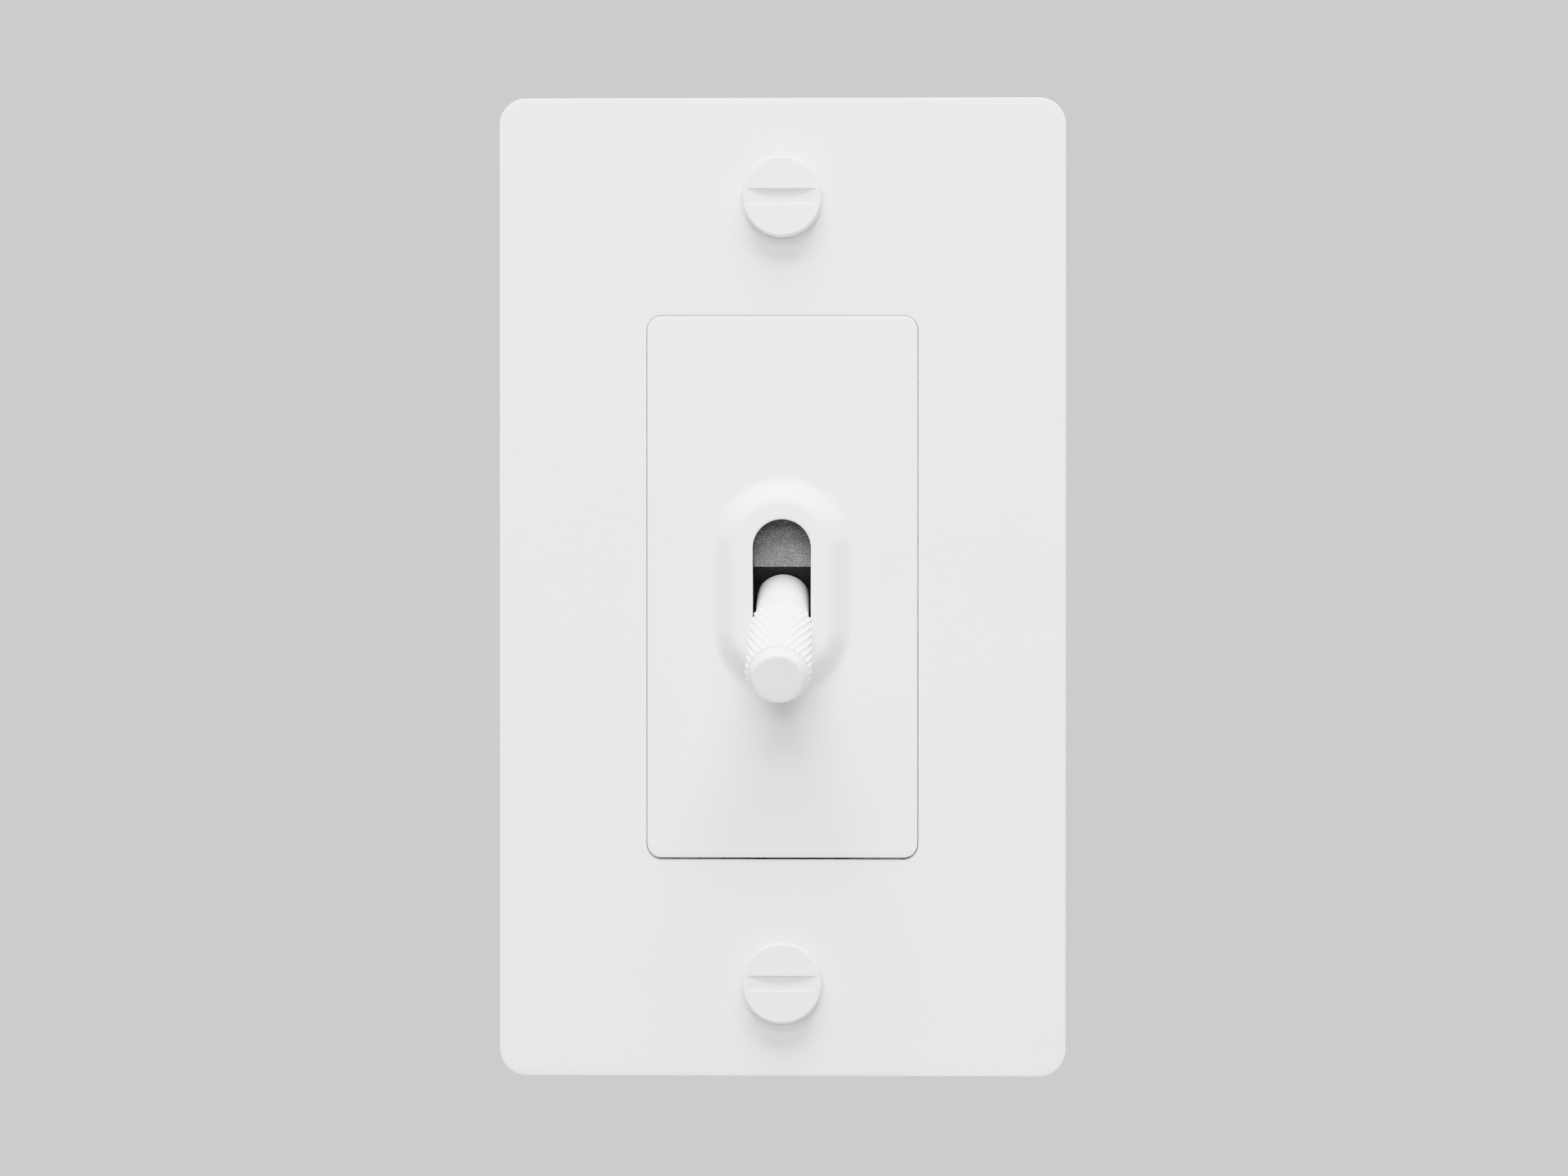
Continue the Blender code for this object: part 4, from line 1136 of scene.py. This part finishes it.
def pressed_card(name):
    """Brown fibre card: matted fibres in layers, with paler and darker flecks."""
    finish = Finish(name, Specular_IOR_Level=0.2)
    fibre = finish.noise(0.25, detail=4.0, roughness=0.7, place=finish.stretched((1.0, 3.0, 0.3)))
    fleck = finish.noise(0.6, detail=2.0)
    tone = finish.blend(fibre, (0.40, 0.29, 0.17), (0.66, 0.54, 0.38))
    finish.colour(finish.blend(finish.ramp(fleck, 0.62, 0.7, 0.0, 0.6), tone, (0.28, 0.19, 0.11)))
    finish.roughness(finish.ramp(fibre, 0.3, 0.7, 0.75, 0.92))
    finish.bump(fibre, 40)
    return finish.material


powder_coat = coat("powder_coat", (0.715, 0.715, 0.715), (0.69, 0.69, 0.69), 26)
# Painted light: the lever wears the same white coat as the plate, painted brighter to stand for the extra light
# its neck and grip catch.
lever_coat_painted_brighter = coat("lever_coat_painted_brighter", (0.845, 0.845, 0.845), (0.825, 0.825, 0.825), 14)
black_nylon = nylon("black_nylon", (0.005, 0.005, 0.005), (0.010, 0.010, 0.011), 0.42, 0.14, 7, 0.1)
# Painted light: its pale pebble tops and dark creases paint highlight and shade into the grain.
grained_nylon = pebbled_nylon("grained_nylon")
housing_resin = nylon("housing_resin", (0.045, 0.045, 0.05), (0.075, 0.075, 0.08), 0.48, 0.3, 20)
plated_steel = metal("plated_steel", (0.62, 0.63, 0.64), (0.46, 0.46, 0.45), 0.30)
dark_steel = metal("dark_steel", (0.10, 0.10, 0.11), (0.06, 0.055, 0.05), 0.36)
spring_steel = metal("spring_steel", (0.50, 0.50, 0.50), (0.36, 0.35, 0.33), 0.28)
brass = metal("brass", (0.74, 0.52, 0.22), (0.50, 0.33, 0.13), 0.28)
silver_alloy = metal("silver_alloy", (0.82, 0.81, 0.78), (0.62, 0.60, 0.56), 0.25)
green_steel = painted_steel("green_steel", (0.04, 0.24, 0.09), (0.45, 0.46, 0.45))
retainer_card = pressed_card("retainer_card")


# Pieces: an axis is the way a screw's shank points

cover_plate()
insert_with_collar()
liner()
for label in ("top", "bottom"):
    coin_screw(f"coin_screw_{label}", f"plate_screw_{label}")
    slotted_screw(f"strap_screw_{label}", f"device_screw_{label}", (0, 1, 0), plated_steel)
    slotted_screw(f"insert_fixing_{label}", f"insert_screw_{label}", (0, -1, 0), plated_steel)
    pierced_plate(f"retainer_{label}", f"screw_retainer_{label}", "Y", *RETAINER, retainer_card)
bat()
rocker()
mounting_strap()
housing_shell_front()
housing_shell_back()
for number in range(1, 5):
    node = f"assembly_screw_{number}"
    slotted_screw(f"housing_screw_{number}", node, (0, -1, 0), plated_steel, slot_turn=0.9 * number)
for label, (node, side) in WIRE_TERMINALS.items():
    eased_copy(f"{label}_terminal_strip", node, 0.08, brass)
    pierced_plate(f"{label}_wire_clamp", f"terminal_clamp_{label}", "X", *CLAMP, plated_steel)
    tone = dark_steel if label == "common" else brass
    node = f"terminal_screw_{label}"
    slotted_screw(f"{label}_wire_screw", node, (-side, 0, 0), tone, slot_turn=0.4 + side)
slotted_screw("earth_screw", "ground_screw", (-1, 0, 0), green_steel, slot_turn=0.6)

pin()
stud()
snap_plunger()
spring()
eased_copy("rocking_arm", "contact_arm", 0.1, brass)
for label in ("upper", "lower"):
    eased_copy(f"arm_button_{label}", f"moving_contact_{label}", 0.12, silver_alloy)
    eased_copy(f"strip_button_{label}", f"fixed_contact_{label}", 0.12, silver_alloy)


# Stage, light and camera

CAMERA_DISTANCE = 0.75
CAMERA_YAW = math.radians(1.84)
CAMERA_RISE = math.radians(0.6)
FIELD_WIDTH = 192.35 * MM  # at the camera's distance
SENSOR = 36.0
AIM = Vector((0.0002, -0.004, -0.00007))
FLOOR_Z = -0.45
FLOOR_X = (-4.0, 4.0)
FLOOR_Y = (-4.0, 3.2)

# name, watts, width and height of the lamp, place
LAMPS = (
    ("top_key", 69.0, 0.9, 0.7, (0.0, -0.46, 1.0)),
    ("low_key", 5.4, 0.5, 0.12, (0.0, -1.09, 0.175)),
    ("high_key", 7.2, 0.5, 0.2, (-0.05, -0.99, 0.48)),
    ("back_fill", 30.0, 1.0, 1.0, (-0.9, 1.25, 0.8)),
)
BACKDROP = 0.955
AMBIENT = 0.03


def floor():
    stone = Finish("floor_paper", Specular_IOR_Level=0.1)
    stone.colour(stone.blend(stone.noise(40.0, detail=3.0), (0.48, 0.48, 0.48), (0.52, 0.52, 0.52)))
    stone.roughness(stone.ramp(stone.noise(4.0), 0.3, 0.7, 0.85, 0.95))
    (left, right), (near, far) = FLOOR_X, FLOOR_Y
    corners = ((left, near), (right, near), (right, far), (left, far))
    data = bpy.data.meshes.new("floor")
    data.from_pydata([(x, y, FLOOR_Z) for x, y in corners], [], [(0, 1, 2, 3)])
    data.materials.append(stone.material)
    added("floor", data)


def soft_light(name, watts, width, height, place):
    """A rectangular area light that faces the object's middle."""
    data = bpy.data.lights.new(name, "AREA")
    data.shape = "RECTANGLE"
    data.size = width
    data.size_y = height
    data.energy = watts
    lamp = added(name, data)
    lamp.location = place
    lamp.rotation_euler = (-Vector(place)).to_track_quat("-Z", "Y").to_euler()


def surroundings(backdrop, ambient):
    """An even grey backdrop as the camera sees it, and the softer light that the studio's walls give."""
    world = bpy.data.worlds.new("studio")
    world.use_nodes = True
    nodes, links = world.node_tree.nodes, world.node_tree.links
    seen = nodes["Background"]
    seen.inputs["Color"].default_value = (*[backdrop] * 3, 1.0)
    cast = nodes.new("ShaderNodeBackground")
    cast.inputs["Color"].default_value = (*[ambient] * 3, 1.0)
    mix = nodes.new("ShaderNodeMixShader")
    links.new(nodes.new("ShaderNodeLightPath").outputs["Is Camera Ray"], mix.inputs["Fac"])
    links.new(cast.outputs["Background"], mix.inputs[1])
    links.new(seen.outputs["Background"], mix.inputs[2])
    links.new(mix.outputs["Shader"], nodes["World Output"].inputs["Surface"])
    bpy.context.scene.world = world


def camera():
    data = bpy.data.cameras.new("camera")
    data.sensor_width = SENSOR
    data.lens = SENSOR * CAMERA_DISTANCE / FIELD_WIDTH
    data.clip_start = 0.01
    thing = added("camera", data)
    away = Vector((
        math.sin(CAMERA_YAW) * math.cos(CAMERA_RISE),
        -math.cos(CAMERA_YAW) * math.cos(CAMERA_RISE),
        math.sin(CAMERA_RISE),
    ))
    thing.location = AIM + CAMERA_DISTANCE * away
    thing.rotation_euler = (-away).to_track_quat("-Z", "Y").to_euler()
    bpy.context.scene.camera = thing


floor()
surroundings(BACKDROP, AMBIENT)
for lamp_row in LAMPS:
    soft_light(*lamp_row)
camera()
bpy.context.scene.view_settings.view_transform = "Filmic"
